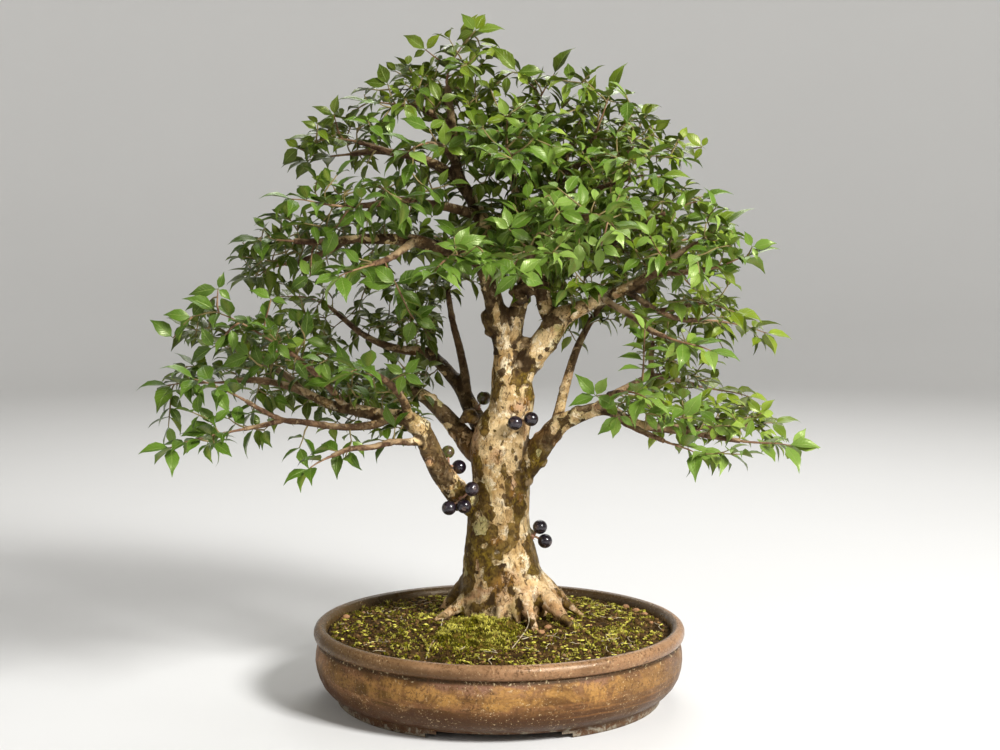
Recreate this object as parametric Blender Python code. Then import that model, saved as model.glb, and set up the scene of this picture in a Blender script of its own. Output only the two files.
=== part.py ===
"""A jaboticaba bonsai in its pot: a low round glazed bowl, the soil that fills it, a cushion of moss,
the tree's wood in one piece, its berries in bunches on the bark, and a leafy spray at the end of each branch.

Metres, +Z up, the front towards -Y. The origin is under the middle of the whole object, on the surface
that the pot stands on.
"""

import math
import random

import bmesh
import bpy
from mathutils import Vector
from mathutils.bvhtree import BVHTree

MM = 0.001

# Gap kept between pieces that touch
GAP = 0.0004

# Pot
POT_RADIUS = 0.200
POT_HEIGHT = 0.083
POT_CENTRE_X = 0.023
POT_CORNERS = 32
FOOT_RADIUS = 0.175
FOOT_WIDTH = 0.015
FOOT_HEIGHT = 0.0085
FOOT_GAP_HALF_WIDTH = 0.063
FOOT_STEP_HALF_WIDTH = 0.074
FOOT_STEP_HEIGHT = 0.005
FOOT_GAP_RIDGE = 0.0002
FLOOR_HEIGHT = 0.0145
DRAIN_RADIUS = 0.010
DRAIN_PLACES = (-0.085, 0.085)
DRAIN_CORNERS = 10

# Radius and height of the outside, from the foot up to the crest of the lip, then of the inside, going down
POT_OUTSIDE = (
    (FOOT_RADIUS, 0.0),
    (FOOT_RADIUS + 0.001, 0.0105),
    (0.185, 0.0150),
    (0.195, 0.0300),
    (0.198, 0.0450),
    (0.1945, 0.0655),
    (POT_RADIUS, 0.0730),
    (0.1975, 0.0805),
    (0.1925, POT_HEIGHT),
)
POT_INSIDE = (
    (0.1865, 0.0805),
    (0.1845, 0.0700),
    (0.1800, 0.0360),
    (0.1650, FLOOR_HEIGHT),
)

# Soil and moss
SOIL_EDGE_HEIGHT = 0.0735
SOIL_MOUND_HEIGHT = 0.0195
SOIL_ROUGHNESS = 0.0008
SOIL_RINGS = (0.040, 0.078, 0.115, 0.150)
MOSS_CENTRE = (-0.002, -0.078)
MOSS_HALF_SIZE = (0.046, 0.043, 0.013)
MOSS_LUMPS = 0.12
MOSS_CORNERS = 18
MOSS_ROWS = 8

# The viewpoint that the tree was measured from: its middle sight line dips a little below level
VIEW_DISTANCE = 1.970
VIEW_HEIGHT = 0.540
VIEW_SIDE = 0.024
VIEW_DIP = math.radians(5.5)
VIEW_FOCAL_PIXELS = 1850
VIEW_MIDDLE_COLUMN = 500
VIEW_MIDDLE_ROW = 375

# Wood. Each limb has the limb that it grows from, its route, and the tip that its leafy spray reaches.
# A route point is (column, row, depth, radius): pixels across and down as seen from the viewpoint, then
# millimetres behind the trunk's axis and millimetres of radius. A tip is (column, row, depth).
LIMBS = {
    "trunk": (
        None,
        (
            (503, 646, 0, 40), (504, 612, 0, 47), (503, 590, 0, 44), (501, 567, 0, 41.5), (500, 548, 0, 38),
            (499, 528, 0, 34), (499, 508, 0, 33), (501, 488, 0, 31), (501, 469, 0, 31), (500, 449, 0, 32),
            (503, 432, 0, 29), (510, 412, 0, 24), (512, 392, 0, 23), (508, 374, 0, 18), (506, 356, 0, 13.5),
            (505, 340, 0, 12.5),
        ),
        None,
    ),
    "leader_left": (
        "trunk",
        (
            (506, 352, 0, 12.5), (499, 323, -3, 10.5), (492, 295, -5, 10), (486, 268, -6, 9),
            (483, 226, -4, 8), (473, 201, 0, 7), (459, 178, 4, 6.5), (455, 153, 6, 5.5), (450, 105, 6, 4.2),
            (447, 86, 6, 3),
        ),
        (474, 15, 0),
    ),
    "leader_middle": (
        "trunk",
        (
            (508, 352, 0, 12), (514, 329, 2, 10), (517, 312, 4, 9.5), (523, 292, 6, 8.5), (526, 270, 8, 7),
            (524, 245, 8, 6), (519, 212, 8, 5.2), (514, 180, 8, 4.6), (516, 150, 6, 4), (524, 126, 4, 3),
            (532, 112, 3, 2.5),
        ),
        (570, 47, -4),
    ),
    "fork_right": (
        "trunk",
        (
            (510, 396, 0, 18), (522, 370, -2, 15), (538, 350, -5, 14), (549, 335, -8, 13.5),
            (559, 319, -10, 12.5), (572, 312, -12, 9.5), (588, 305, -15, 7.8), (603, 298, -18, 7),
            (625, 289, -24, 5.8), (643, 279, -30, 5), (657, 271, -34, 4.4), (667, 262, -38, 3.7),
            (681, 252, -42, 3), (696, 243, -48, 2.4),
        ),
        (752, 208, -66),
    ),
    "leader_right": (
        "fork_right",
        (
            (557, 322, -10, 10.5), (548, 312, -4, 9.5), (543, 295, 0, 8.5), (541, 277, 4, 7.8),
            (540, 260, 6, 7), (541, 242, 8, 6.3), (546, 220, 12, 5.6), (553, 196, 16, 4.9),
            (561, 172, 18, 4.2), (569, 150, 20, 3), (573, 140, 20, 2.5),
        ),
        (596, 76, 22),
    ),
    "leader_far_right": (
        "leader_right",
        ((553, 196, 16, 4), (570, 175, 0, 3.7), (588, 150, -12, 3.1), (596, 132, -18, 2.5)),
        (621, 64, -28),
    ),
    "right_top": (
        "leader_right",
        (
            (561, 172, 18, 4), (577, 165, 24, 3.7), (593, 160, 30, 3.3), (615, 155, 38, 2.8),
            (638, 152, 46, 2.3),
        ),
        (708, 146, 62),
    ),
    "right_top_up": (
        "right_top",
        ((593, 160, 30, 3), (608, 142, 44, 2.6), (622, 128, 56, 2.2)),
        (663, 105, 84),
    ),
    "right_top_front": (
        "leader_right",
        (
            (546, 220, 12, 4.2), (566, 204, -14, 3.8), (588, 193, -36, 3.2), (612, 184, -56, 2.7),
            (630, 178, -70, 2.2),
        ),
        (690, 176, -104),
    ),
    "right_upper": (
        "leader_right",
        (
            (540, 260, 6, 5.8), (556, 267, 26, 5.3), (582, 261, 50, 4.6), (607, 254, 72, 4),
            (634, 250, 90, 3.4), (660, 246, 104, 2.8), (680, 241, 114, 2.3),
        ),
        (742, 232, 140),
    ),
    "right_upper_front": (
        "right_upper",
        ((600, 256, 66, 3.2), (622, 237, 30, 2.8), (644, 223, 2, 2.5), (666, 213, -16, 2.2)),
        (730, 190, -40),
    ),
    "right_side": (
        "fork_right",
        ((651, 275, -32, 3.6), (668, 273, -52, 3.2), (688, 272, -72, 2.8), (708, 269, -88, 2.3)),
        (777, 247, -120),
    ),
    "right_hanging": (
        "fork_right",
        (
            (603, 298, -18, 4.4), (613, 305, -40, 3.8), (630, 315, -64, 3.3), (650, 330, -86, 2.8),
            (666, 337, -100, 2.3),
        ),
        (742, 360, -130),
    ),
    "right_spreading": (
        "fork_right",
        (
            (625, 289, -24, 4.2), (642, 301, 0, 3.7), (658, 311, 24, 3.3), (680, 319, 46, 2.8),
            (704, 320, 62, 2.4),
        ),
        (794, 339, 84),
    ),
    "right_spreading_up": (
        "right_spreading",
        ((658, 311, 24, 2.9), (676, 308, 4, 2.6), (694, 304, -12, 2.2)),
        (765, 318, -34),
    ),
    "right_low": (
        "trunk",
        (
            (504, 484, 0, 24), (519, 470, -6, 18), (532, 457, -10, 14.5), (546, 439, -16, 12),
            (559, 425, -20, 10.5), (579, 415, -26, 8.2), (599, 409, -32, 7.2), (612, 411, -36, 6.4),
            (631, 422, -42, 5.6), (658, 428, -48, 4.5), (688, 432, -54, 3.6), (716, 437, -60, 2.9),
            (740, 441, -64, 2.4),
        ),
        (821, 448, -80),
    ),
    "right_low_up": (
        "right_low",
        ((650, 427, -46, 3.6), (676, 427, -24, 3.1), (706, 428, -8, 2.6), (732, 427, 2, 2.2)),
        (804, 420, 16),
    ),
    "right_low_front": (
        "right_low",
        ((612, 411, -36, 4), (622, 421, -60, 3.4), (641, 431, -88, 2.9), (664, 441, -112, 2.3)),
        (725, 464, -150),
    ),
    "right_low_stem": (
        "right_low",
        (
            (556, 427, -18, 7), (560, 408, -8, 6), (565, 388, 4, 5.4), (571, 366, 16, 4.9),
            (578, 346, 28, 4.4), (587, 328, 42, 3.8), (598, 310, 58, 3.1), (612, 296, 76, 2.4),
        ),
        (660, 262, 140),
    ),
    "right_back": (
        "right_low",
        (
            (592, 411, -30, 6), (612, 396, 6, 4.9), (634, 384, 46, 4.1), (654, 376, 80, 3.5),
            (680, 381, 104, 2.8), (698, 386, 118, 2.3),
        ),
        (774, 402, 150),
    ),
    "right_back_stem": (
        "right_back",
        ((651, 377, 76, 3.3), (651, 360, 74, 2.9), (653, 343, 74, 2.3)),
        (704, 352, 96),
    ),
    "left_low": (
        "trunk",
        (
            (484, 512, -2, 17), (470, 502, -8, 14.5), (456, 491, -13, 13), (444, 476, -20, 12),
            (434, 458, -26, 11.5), (425, 438, -32, 11), (415, 423, -38, 10), (400, 417, -41, 8.3),
            (380, 415, -43, 7.4), (357, 410, -44, 6.5), (331, 405, -46, 5.5), (304, 392, -48, 4.6),
            (277, 383, -52, 3.9), (250, 380, -56, 3.2), (226, 382, -60, 2.5),
        ),
        (135, 387, -84),
    ),
    "left_low_back": (
        "left_low",
        ((304, 392, -48, 3.9), (287, 376, -20, 3.4), (266, 364, 10, 2.9), (244, 354, 34, 2.4)),
        (166, 316, 70),
    ),
    "left_low_up": (
        "left_low",
        ((346, 408, -45, 4.2), (326, 384, -70, 3.6), (302, 362, -92, 3), (276, 344, -110, 2.4)),
        (186, 296, -140),
    ),
    "left_low_fork": (
        "left_low",
        (
            (392, 416, -42, 5.6), (376, 424, -52, 4.7), (354, 427, -64, 4.2), (330, 426, -78, 3.7),
            (303, 422, -92, 3.2), (283, 420, -102, 2.8), (263, 411, -110, 2.4), (246, 401, -116, 2.2),
        ),
        (164, 366, -146),
    ),
    "left_low_fork_down": (
        "left_low_fork",
        ((283, 420, -102, 2.8), (264, 425, -112, 2.5), (244, 429, -122, 2.2)),
        (137, 456, -156),
    ),
    "left_low_front": (
        "left_low",
        (
            (424, 441, -31, 6), (408, 442, -52, 4.2), (392, 442, -74, 3.6), (373, 447, -96, 3.1),
            (350, 449, -116, 2.7), (332, 456, -130, 2.3),
        ),
        (282, 484, -164),
    ),
    "left_middle": (
        "trunk",
        (
            (488, 464, 4, 18), (474, 449, 18, 13), (463, 436, 30, 11), (450, 421, 42, 9.5),
            (437, 407, 52, 8.4), (420, 394, 64, 7.2), (400, 391, 80, 5.4), (378, 395, 98, 4),
            (358, 397, 116, 3), (342, 396, 130, 2.4),
        ),
        (262, 398, 190),
    ),
    "left_back": (
        "trunk",
        (
            (492, 446, 22, 15), (480, 424, 44, 11), (469, 404, 60, 9.2), (460, 386, 72, 8.2),
            (449, 373, 84, 7.5), (438, 361, 96, 6.8), (425, 352, 108, 6.2), (404, 350, 124, 5.2),
            (382, 344, 140, 4.4), (361, 333, 154, 3.6), (345, 320, 166, 2.9), (331, 308, 176, 2.3),
        ),
        (252, 292, 220),
    ),
    "left_back_twig": (
        "left_back",
        ((436, 360, 98, 4.2), (431, 342, 104, 3.7), (423, 322, 112, 3), (416, 304, 120, 2.4)),
        (352, 268, 150),
    ),
    "left_back_stem": (
        "left_back",
        (
            (467, 400, 62, 6), (465, 376, 68, 5.2), (460, 350, 76, 4.5), (453, 323, 84, 3.8),
            (449, 300, 92, 3.1), (447, 280, 98, 2.4),
        ),
        (420, 222, 130),
    ),
    "left_upper": (
        "leader_left",
        (
            (486, 264, -6, 8.6), (465, 254, -16, 8), (439, 247, -30, 7.3), (415, 241, -42, 6.7),
            (391, 239, -52, 6), (362, 239, -62, 5.2), (335, 241, -72, 4.4), (310, 242, -80, 3.4),
            (294, 241, -86, 2.7),
        ),
        (227, 240, -106),
    ),
    "left_upper_low": (
        "left_upper",
        ((346, 240, -68, 3.9), (326, 252, -46, 3.3), (306, 259, -26, 2.8), (286, 264, -8, 2.3)),
        (222, 286, 30),
    ),
    "left_upper_front": (
        "left_upper",
        ((415, 241, -42, 5), (402, 250, -80, 4.1), (390, 258, -116, 3.3), (374, 264, -146, 2.5)),
        (312, 286, -196),
    ),
    "left_high": (
        "leader_left",
        (
            (466, 190, 2, 6), (445, 170, 12, 5.6), (420, 158, 22, 5), (396, 153, 30, 4.5),
            (375, 151, 38, 3.7), (352, 154, 46, 2.8),
        ),
        (278, 165, 66),
    ),
    "left_high_up": (
        "left_high",
        ((392, 153, 32, 3.2), (372, 146, 20, 2.8), (358, 142, 12, 2.4)),
        (285, 139, -16),
    ),
    "left_high_front": (
        "leader_left",
        (
            (480, 215, -3, 6), (452, 208, -28, 5.1), (424, 203, -52, 4.4), (398, 200, -74, 3.8),
            (370, 205, -94, 3.2), (346, 206, -110, 2.5),
        ),
        (260, 195, -156),
    ),
    "left_top": (
        "leader_left",
        ((453, 135, 6, 5), (438, 118, 2, 4), (420, 108, -4, 3.2), (406, 106, -8, 2.5)),
        (337, 100, -28),
    ),
    "left_top_up": (
        "leader_left",
        ((450, 108, 6, 3.4), (442, 96, 14, 2.8), (436, 88, 20, 2.4)),
        (390, 62, 44),
    ),
    "front_left": (
        "leader_left",
        (
            (485, 260, -6, 6.5), (476, 258, -44, 5.4), (466, 258, -84, 4.5), (456, 258, -122, 3.6),
            (450, 258, -156, 2.7),
        ),
        (424, 282, -244),
    ),
    "front_middle": (
        "leader_middle",
        (
            (526, 270, 8, 6), (528, 262, -34, 5.2), (530, 254, -76, 4.4), (530, 250, -116, 3.5),
            (528, 250, -150, 2.7),
        ),
        (505, 276, -248),
    ),
    "front_right": (
        "leader_right",
        (
            (541, 242, 8, 5.6), (552, 232, -32, 4.8), (566, 224, -72, 4.1), (582, 218, -108, 3.4),
            (596, 216, -140, 2.6),
        ),
        (628, 238, -232),
    ),
    "front_high": (
        "leader_middle",
        ((514, 180, 8, 4.6), (510, 166, -26, 4), (506, 156, -60, 3.4), (506, 150, -92, 2.6)),
        (520, 168, -164),
    ),
    "front_high_left": (
        "leader_left",
        ((456, 164, 5, 5), (448, 152, -28, 4.3), (438, 146, -60, 3.6), (428, 144, -88, 2.7)),
        (392, 158, -158),
    ),
    "front_low_left": (
        "left_low",
        (
            (410, 420, -39, 6), (404, 402, -66, 4.6), (394, 388, -94, 3.8), (382, 378, -122, 3),
            (372, 372, -144, 2.4),
        ),
        (338, 372, -230),
    ),
    "front_low_right": (
        "right_low",
        ((599, 409, -32, 5), (604, 400, -66, 4.1), (612, 394, -98, 3.4), (622, 392, -126, 2.6)),
        (664, 402, -196),
    ),
    "back_left": (
        "leader_left",
        (
            (486, 268, -6, 6.5), (474, 256, 40, 5.6), (460, 246, 88, 4.8), (444, 240, 134, 3.9),
            (430, 238, 172, 2.8),
        ),
        (396, 250, 250),
    ),
    "back_middle": (
        "leader_middle",
        (
            (523, 284, 6, 6.2), (530, 270, 50, 5.4), (538, 260, 98, 4.6), (544, 254, 142, 3.7),
            (548, 252, 178, 2.7),
        ),
        (556, 272, 254),
    ),
    "back_right": (
        "leader_right",
        (
            (541, 252, 7, 5.6), (562, 240, 48, 4.9), (586, 230, 92, 4.2), (606, 224, 132, 3.4),
            (622, 222, 164, 2.6),
        ),
        (664, 214, 232),
    ),
    "back_high": (
        "leader_middle",
        ((516, 160, 7, 4.4), (512, 148, 42, 3.8), (506, 140, 78, 3.2), (500, 138, 108, 2.5)),
        (484, 134, 178),
    ),
}
LIMB_SIDES = 5
STOUT_SIDES = 6
TRUNK_SIDES = 10
STOUT_RADIUS = 0.0075
LIMB_RING_STEP = 2

# Surface roots, in the same numbers as the routes, each diving into the soil at its end
ROOTS = (
    (
        (484, 583, -8, 22), (468, 598, -10, 14), (454, 609, -14, 9.5), (441, 617, -18, 6.5),
        (430, 634, -20, 4),
    ),
    ((474, 588, 16, 18), (454, 603, 26, 10), (442, 610, 34, 6), (432, 626, 40, 4)),
    ((498, 588, -26, 17), (502, 604, -40, 9), (504, 622, -48, 5)),
    ((516, 586, -26, 18), (525, 604, -42, 11), (530, 618, -54, 8), (533, 640, -62, 5)),
    ((526, 586, -16, 18), (546, 602, -28, 11.5), (560, 613, -36, 8.5), (573, 630, -44, 6)),
    ((528, 584, 6, 19), (552, 597, 4, 11), (571, 605, 0, 7.5), (586, 620, -4, 4.5)),
    ((514, 584, 24, 18), (530, 592, 54, 10), (540, 600, 78, 5)),
    ((486, 584, 24, 18), (470, 592, 52, 10), (458, 602, 72, 5)),
)
ROOT_SIDES = 6

# Berries on short spurs: each bunch's berries as (column, row, depth), and their radius in millimetres
BERRIES = {
    "berries_trunk_front": ((515, 423, -40), (531, 419, -32)),
    "berries_trunk_side": ((540, 527, -6), (545, 541, -8)),
    "berries_left_limb": ((472, 489, -36), (464, 506, -30), (449, 508, -28)),
    "berries_crotch": ((459, 467, -4), (448, 452, 2)),
    "berries_back": ((484, 398, 40),),
}
BERRY_RADIUS = 7.8
BERRY_CLEARANCE = 0.9
BERRY_CORNERS = 8
BERRY_ROWS = 5
BERRY_TRIES = 40
SPUR_RADIUS = 2.6
SPUR_TAPER = 0.7
SPUR_LENGTH = 4
SPUR_SIDES = 5
STALK_RADIUS = 1.5
STALK_ROOT = 2.6
STALK_SIDES = 3

# Leaves: a blade's outline is pairs of (share of the length, half of the width as a share of it)
LEAF_LENGTH = 0.035
LEAF_WIDTH = 0.0165
LEAF_SIZES = (0.86, 1.1)
LEAF_OUTLINE = ((0.32, 0.5), (0.66, 0.37))
LEAF_RIB = 0.0013
LEAF_RIB_PLACE = 0.45
LEAF_SAG = 0.16
LEAF_SPREAD = (48, 74)
LEAF_TILT = 0.35
LEAF_DROOP = (0.05, 0.45)
LEAF_PAIR_SPACING = 0.0135
LEAF_PAIR_TURN = 0.75
LEAVES_PER_SPRAY = 11
LEAF_TRIES = 8

# Twigs: bare for a little way at both ends, and ended by a leaf that reaches the tip
TWIG_RADIUS = 0.0014
TWIG_TIP_RADIUS = 0.0009
TWIG_SIDES = 3
TWIG_BARE_START = 0.012
TWIG_BARE_END = 0.003
TWIG_END_LEAF = 0.95
TWIG_STRAIGHT = 0.004
TWIG_ARCH = 0.05
TWIG_BEND = (0.3, 0.25)
TWIG_STEPS = (0.4, 0.72, 1)
TWIG_SHIFT = 0.004

# Room kept between a spray's leaves and twigs and everything else
CLEARANCE = 0.0006
LEAF_FREE_SHARE = 0.2

COLOURS = {
    "glaze": ((0.23, 0.115, 0.045), 0.32),
    "soil": ((0.035, 0.022, 0.014), 0.95),
    "moss": ((0.19, 0.27, 0.03), 0.9),
    "bark": ((0.52, 0.40, 0.24), 0.75),
    "berry": ((0.012, 0.006, 0.014), 0.22),
    "leaf": ((0.06, 0.16, 0.035), 0.42),
}


def clear_scene():
    for thing in list(bpy.data.objects):
        bpy.data.objects.remove(thing, do_unlink=True)


def material(name):
    colour, roughness = COLOURS[name]
    made = bpy.data.materials.new(name)
    made.use_nodes = True
    shader = made.node_tree.nodes["Principled BSDF"]
    shader.inputs["Base Color"].default_value = (*colour, 1)
    shader.inputs["Roughness"].default_value = roughness
    shader.inputs["Metallic"].default_value = 0
    return made


def sight(column, row, depth):
    """The place seen at a pixel, a number of millimetres behind the trunk's axis."""
    across = (column - VIEW_MIDDLE_COLUMN) / VIEW_FOCAL_PIXELS
    above = (VIEW_MIDDLE_ROW - row) / VIEW_FOCAL_PIXELS
    forward = math.cos(VIEW_DIP) + above * math.sin(VIEW_DIP)
    rise = above * math.cos(VIEW_DIP) - math.sin(VIEW_DIP)
    run = (VIEW_DISTANCE + depth * MM) / forward
    return Vector((VIEW_SIDE + run * across, depth * MM, VIEW_HEIGHT + run * rise))


def triangulate(thing):
    made = bmesh.new()
    made.from_mesh(thing.data)
    bmesh.ops.triangulate(made, faces=made.faces[:])
    made.to_mesh(thing.data)
    made.free()


def faced_object(name, places, faces):
    mesh = bpy.data.meshes.new(name)
    mesh.from_pydata([tuple(place) for place in places], [], faces)
    mesh.update()
    thing = bpy.data.objects.new(name, mesh)
    bpy.context.scene.collection.objects.link(thing)
    return thing


def mesh_object(name, places, faces):
    thing = faced_object(name, places, faces)
    triangulate(thing)
    return thing


def tree_of(places, faces):
    return BVHTree.FromPolygons([tuple(place) for place in places], faces)


def object_tree(thing):
    faces = [tuple(face.vertices) for face in thing.data.polygons]
    return tree_of([vertex.co for vertex in thing.data.vertices], faces)


def tube_shape(points, radii, sides):
    """Rings round a route, square to it, with flat ends."""
    steps = [(b - a).normalized() for a, b in zip(points, points[1:])]
    normal = steps[0].orthogonal().normalized()
    places = []
    for index, point in enumerate(points):
        before = steps[max(index - 1, 0)]
        after = steps[min(index, len(steps) - 1)]
        along = (before + after).normalized()
        normal = (normal - along * normal.dot(along)).normalized()
        across = along.cross(normal)
        for side in range(sides):
            turn = math.tau * side / sides
            places.append(point + (normal * math.cos(turn) + across * math.sin(turn)) * radii[index])
    faces = []
    for ring in range(len(points) - 1):
        for side in range(sides):
            a = ring * sides + side
            b = ring * sides + (side + 1) % sides
            faces.append((a, b, b + sides, a + sides))
    faces.append(tuple(reversed(range(sides))))
    last = (len(points) - 1) * sides
    faces.append(tuple(range(last, last + sides)))
    return places, faces


def tube(name, points, radii, sides):
    return mesh_object(name, *tube_shape(points, radii, sides))


def apply_modifiers(thing):
    depsgraph = bpy.context.evaluated_depsgraph_get()
    mesh = bpy.data.meshes.new_from_object(thing.evaluated_get(depsgraph))
    thing.modifiers.clear()
    thing.data = mesh


def fuse(name, pieces, colour):
    """One body from pieces that run into each other."""
    body = pieces[0]
    body.name = name
    others = bpy.data.collections.new(name + "_pieces")
    bpy.context.scene.collection.children.link(others)
    for piece in pieces[1:]:
        bpy.context.scene.collection.objects.unlink(piece)
        others.objects.link(piece)
    if pieces[1:]:
        union = body.modifiers.new("union", "BOOLEAN")
        union.operation = "UNION"
        union.operand_type = "COLLECTION"
        union.collection = others
        union.solver = "MANIFOLD"
        apply_modifiers(body)
    for piece in pieces[1:]:
        bpy.data.objects.remove(piece, do_unlink=True)
    bpy.data.collections.remove(others)
    triangulate(body)
    body.data.materials.clear()
    body.data.materials.append(colour)
    return body


def cut(body, cutter):
    """Cuts one piece out of another and drops the cutter."""
    difference = body.modifiers.new("cut", "BOOLEAN")
    difference.operation = "DIFFERENCE"
    difference.object = cutter
    apply_modifiers(body)
    bpy.data.objects.remove(cutter, do_unlink=True)


def turned(name, profile, corners, centre_x):
    """A solid turned from (radius, height) pairs, with a flat face at both ends."""
    places = []
    for radius, height in profile:
        for corner in range(corners):
            turn = math.tau * corner / corners
            places.append(Vector((centre_x + radius * math.cos(turn), radius * math.sin(turn), height)))
    last = (len(profile) - 1) * corners
    faces = [tuple(reversed(range(corners))), tuple(range(last, last + corners))]
    for corner in range(corners):
        after = (corner + 1) % corners
        for ring in range(len(profile) - 1):
            a = ring * corners
            faces.append((a + corner, a + after, a + corners + after, a + corners + corner))
    return faced_object(name, places, faces)


def box(name, low, high):
    places = [(x, y, z) for x in (low[0], high[0]) for y in (low[1], high[1]) for z in (low[2], high[2])]
    faces = [(0, 1, 3, 2), (4, 6, 7, 5), (0, 4, 5, 1), (2, 3, 7, 6), (0, 2, 6, 4), (1, 5, 7, 3)]
    return mesh_object(name, places, faces)


def make_pot():
    """The bowl with its foot band, which is cut open at the front and the back in two steps."""
    underside = ((FOOT_RADIUS - FOOT_WIDTH, FOOT_HEIGHT), (FOOT_RADIUS - FOOT_WIDTH + 0.001, 0.0))
    pot = turned("pot", underside + POT_OUTSIDE + POT_INSIDE, POT_CORNERS, POT_CENTRE_X)
    for half_width, top in (
        (FOOT_GAP_HALF_WIDTH, FOOT_HEIGHT - FOOT_GAP_RIDGE),
        (FOOT_STEP_HALF_WIDTH, FOOT_STEP_HEIGHT),
    ):
        low = (POT_CENTRE_X - half_width, -POT_RADIUS, -FOOT_HEIGHT)
        high = (POT_CENTRE_X + half_width, POT_RADIUS, top)
        cut(pot, box("foot_gap", low, high))
    for x in DRAIN_PLACES:
        ends = [Vector((POT_CENTRE_X + x, 0, height)) for height in (FOOT_HEIGHT / 2, FLOOR_HEIGHT * 2)]
        cut(pot, tube("drain", ends, [DRAIN_RADIUS, DRAIN_RADIUS], DRAIN_CORNERS))
    triangulate(pot)
    pot.data.materials.append(material("glaze"))
    return pot


def soil_height(x, y):
    outward = math.hypot(x - POT_CENTRE_X, y) / POT_INSIDE[1][0]
    return SOIL_EDGE_HEIGHT + SOIL_MOUND_HEIGHT * max(0, 1 - outward**2) ** 1.5


def make_soil():
    """The soil: the pot's inside a gap smaller, with a rough mounded top."""
    draw = random.Random(4)
    (upper_radius, upper_height), (mid_radius, mid_height), (floor_radius, floor_height) = POT_INSIDE[1:]
    share = (SOIL_EDGE_HEIGHT - mid_height) / (upper_height - mid_height)
    edge_radius = mid_radius + share * (upper_radius - mid_radius) - GAP
    sides = [
        (floor_radius - GAP, floor_height + GAP),
        (mid_radius - GAP, mid_height),
        (edge_radius - GAP, SOIL_EDGE_HEIGHT),
    ]
    tops = [(ring, soil_height(POT_CENTRE_X + ring, 0)) for ring in reversed(SOIL_RINGS)]
    soil = turned("soil", sides + tops, POT_CORNERS, POT_CENTRE_X)
    first_top = len(sides) * POT_CORNERS
    for vertex in soil.data.vertices[first_top:-POT_CORNERS]:
        vertex.co.z += draw.uniform(-SOIL_ROUGHNESS, SOIL_ROUGHNESS)
    triangulate(soil)
    return soil


def tip_of(name):
    return sight(*LIMBS[name][2])


def nearest_on(points, place):
    """The point of a route that lies nearest a place."""
    best = None
    for a, b in zip(points, points[1:]):
        share = (place - a).dot(b - a) / (b - a).length_squared
        found = a.lerp(b, min(max(share, 0), 1))
        if best is None or (found - place).length < (best - place).length:
            best = found
    return best


def limb_routes():
    """Each limb's points and radii, starting on the middle line of the limb that it grows from.

    Where a limb is thin, only every second point of its route is kept, and the last two.
    """
    routes = {}
    for name, (parent, rows, _) in LIMBS.items():
        thin_at = [index for index, row in enumerate(rows[:-2]) if row[3] * MM <= STOUT_RADIUS and index]
        left_out = thin_at[::LIMB_RING_STEP]
        rows = [row for index, row in enumerate(rows) if index not in left_out]
        points = [sight(*row[:3]) for row in rows]
        radii = [row[3] * MM for row in rows]
        if parent:
            points[0] = nearest_on(routes[parent][0], points[0])
        routes[name] = (points, radii)
    return routes


def limb_tube(name, points, radii):
    if name == "trunk":
        return tube(name, points, radii, TRUNK_SIDES)
    return tube(name, points, radii, STOUT_SIDES if radii[0] > STOUT_RADIUS else LIMB_SIDES)


def root_tubes(extra):
    """The surface roots, swollen by a little where they serve to cut their holes."""
    tubes = []
    for rows in ROOTS:
        points = [sight(*row[:3]) for row in rows]
        radii = [row[3] * MM + extra for row in rows]
        last = (points[-1] - points[-2]).normalized()
        points[-1] = points[-1] + last * extra
        tubes.append(tube("root", points, radii, ROOT_SIDES))
    return tubes


def trunk_foot(extra):
    rows = LIMBS["trunk"][1][:4]
    points = [sight(*row[:3]) for row in rows]
    points[0] = points[0] - Vector((0, 0, extra))
    return tube("foot", points, [row[3] * MM + extra for row in rows], TRUNK_SIDES)


def make_trunk(routes):
    """Roots, trunk and limbs, grown as one piece."""
    pieces = [limb_tube(name, points, radii) for name, (points, radii) in routes.items()]
    return fuse("trunk", pieces + root_tubes(0), material("bark"))


def ball_shape(centre, half_sizes, around, rows):
    """A round body from rings between two poles."""
    places = [centre + Vector((0, 0, half_sizes[2]))]
    for row in range(1, rows):
        tilt = math.pi * row / rows
        for step in range(around):
            turn = math.tau * step / around
            x = half_sizes[0] * math.sin(tilt) * math.cos(turn)
            y = half_sizes[1] * math.sin(tilt) * math.sin(turn)
            places.append(centre + Vector((x, y, half_sizes[2] * math.cos(tilt))))
    places.append(centre - Vector((0, 0, half_sizes[2])))
    faces = []
    for step in range(around):
        after = (step + 1) % around
        faces.append((0, 1 + step, 1 + after))
        for row in range(rows - 2):
            a = 1 + row * around
            faces.append((a + step, a + around + step, a + around + after, a + after))
        last = 1 + (rows - 2) * around
        faces.append((last + step, len(places) - 1, last + after))
    return places, faces


def moss_body(extra):
    """The moss cushion, a flat lumpy body half sunk in the soil."""
    draw = random.Random(9)
    x, y = MOSS_CENTRE
    centre = Vector((x, y, soil_height(x, y)))
    places, faces = ball_shape(centre, [half + extra for half in MOSS_HALF_SIZE], MOSS_CORNERS, MOSS_ROWS)
    lumps = [draw.uniform(1 - MOSS_LUMPS, 1 + MOSS_LUMPS) for _ in places]
    places = [centre + (place - centre) * lump for place, lump in zip(places, lumps)]
    return mesh_object("moss_mound", places, faces)


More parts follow.
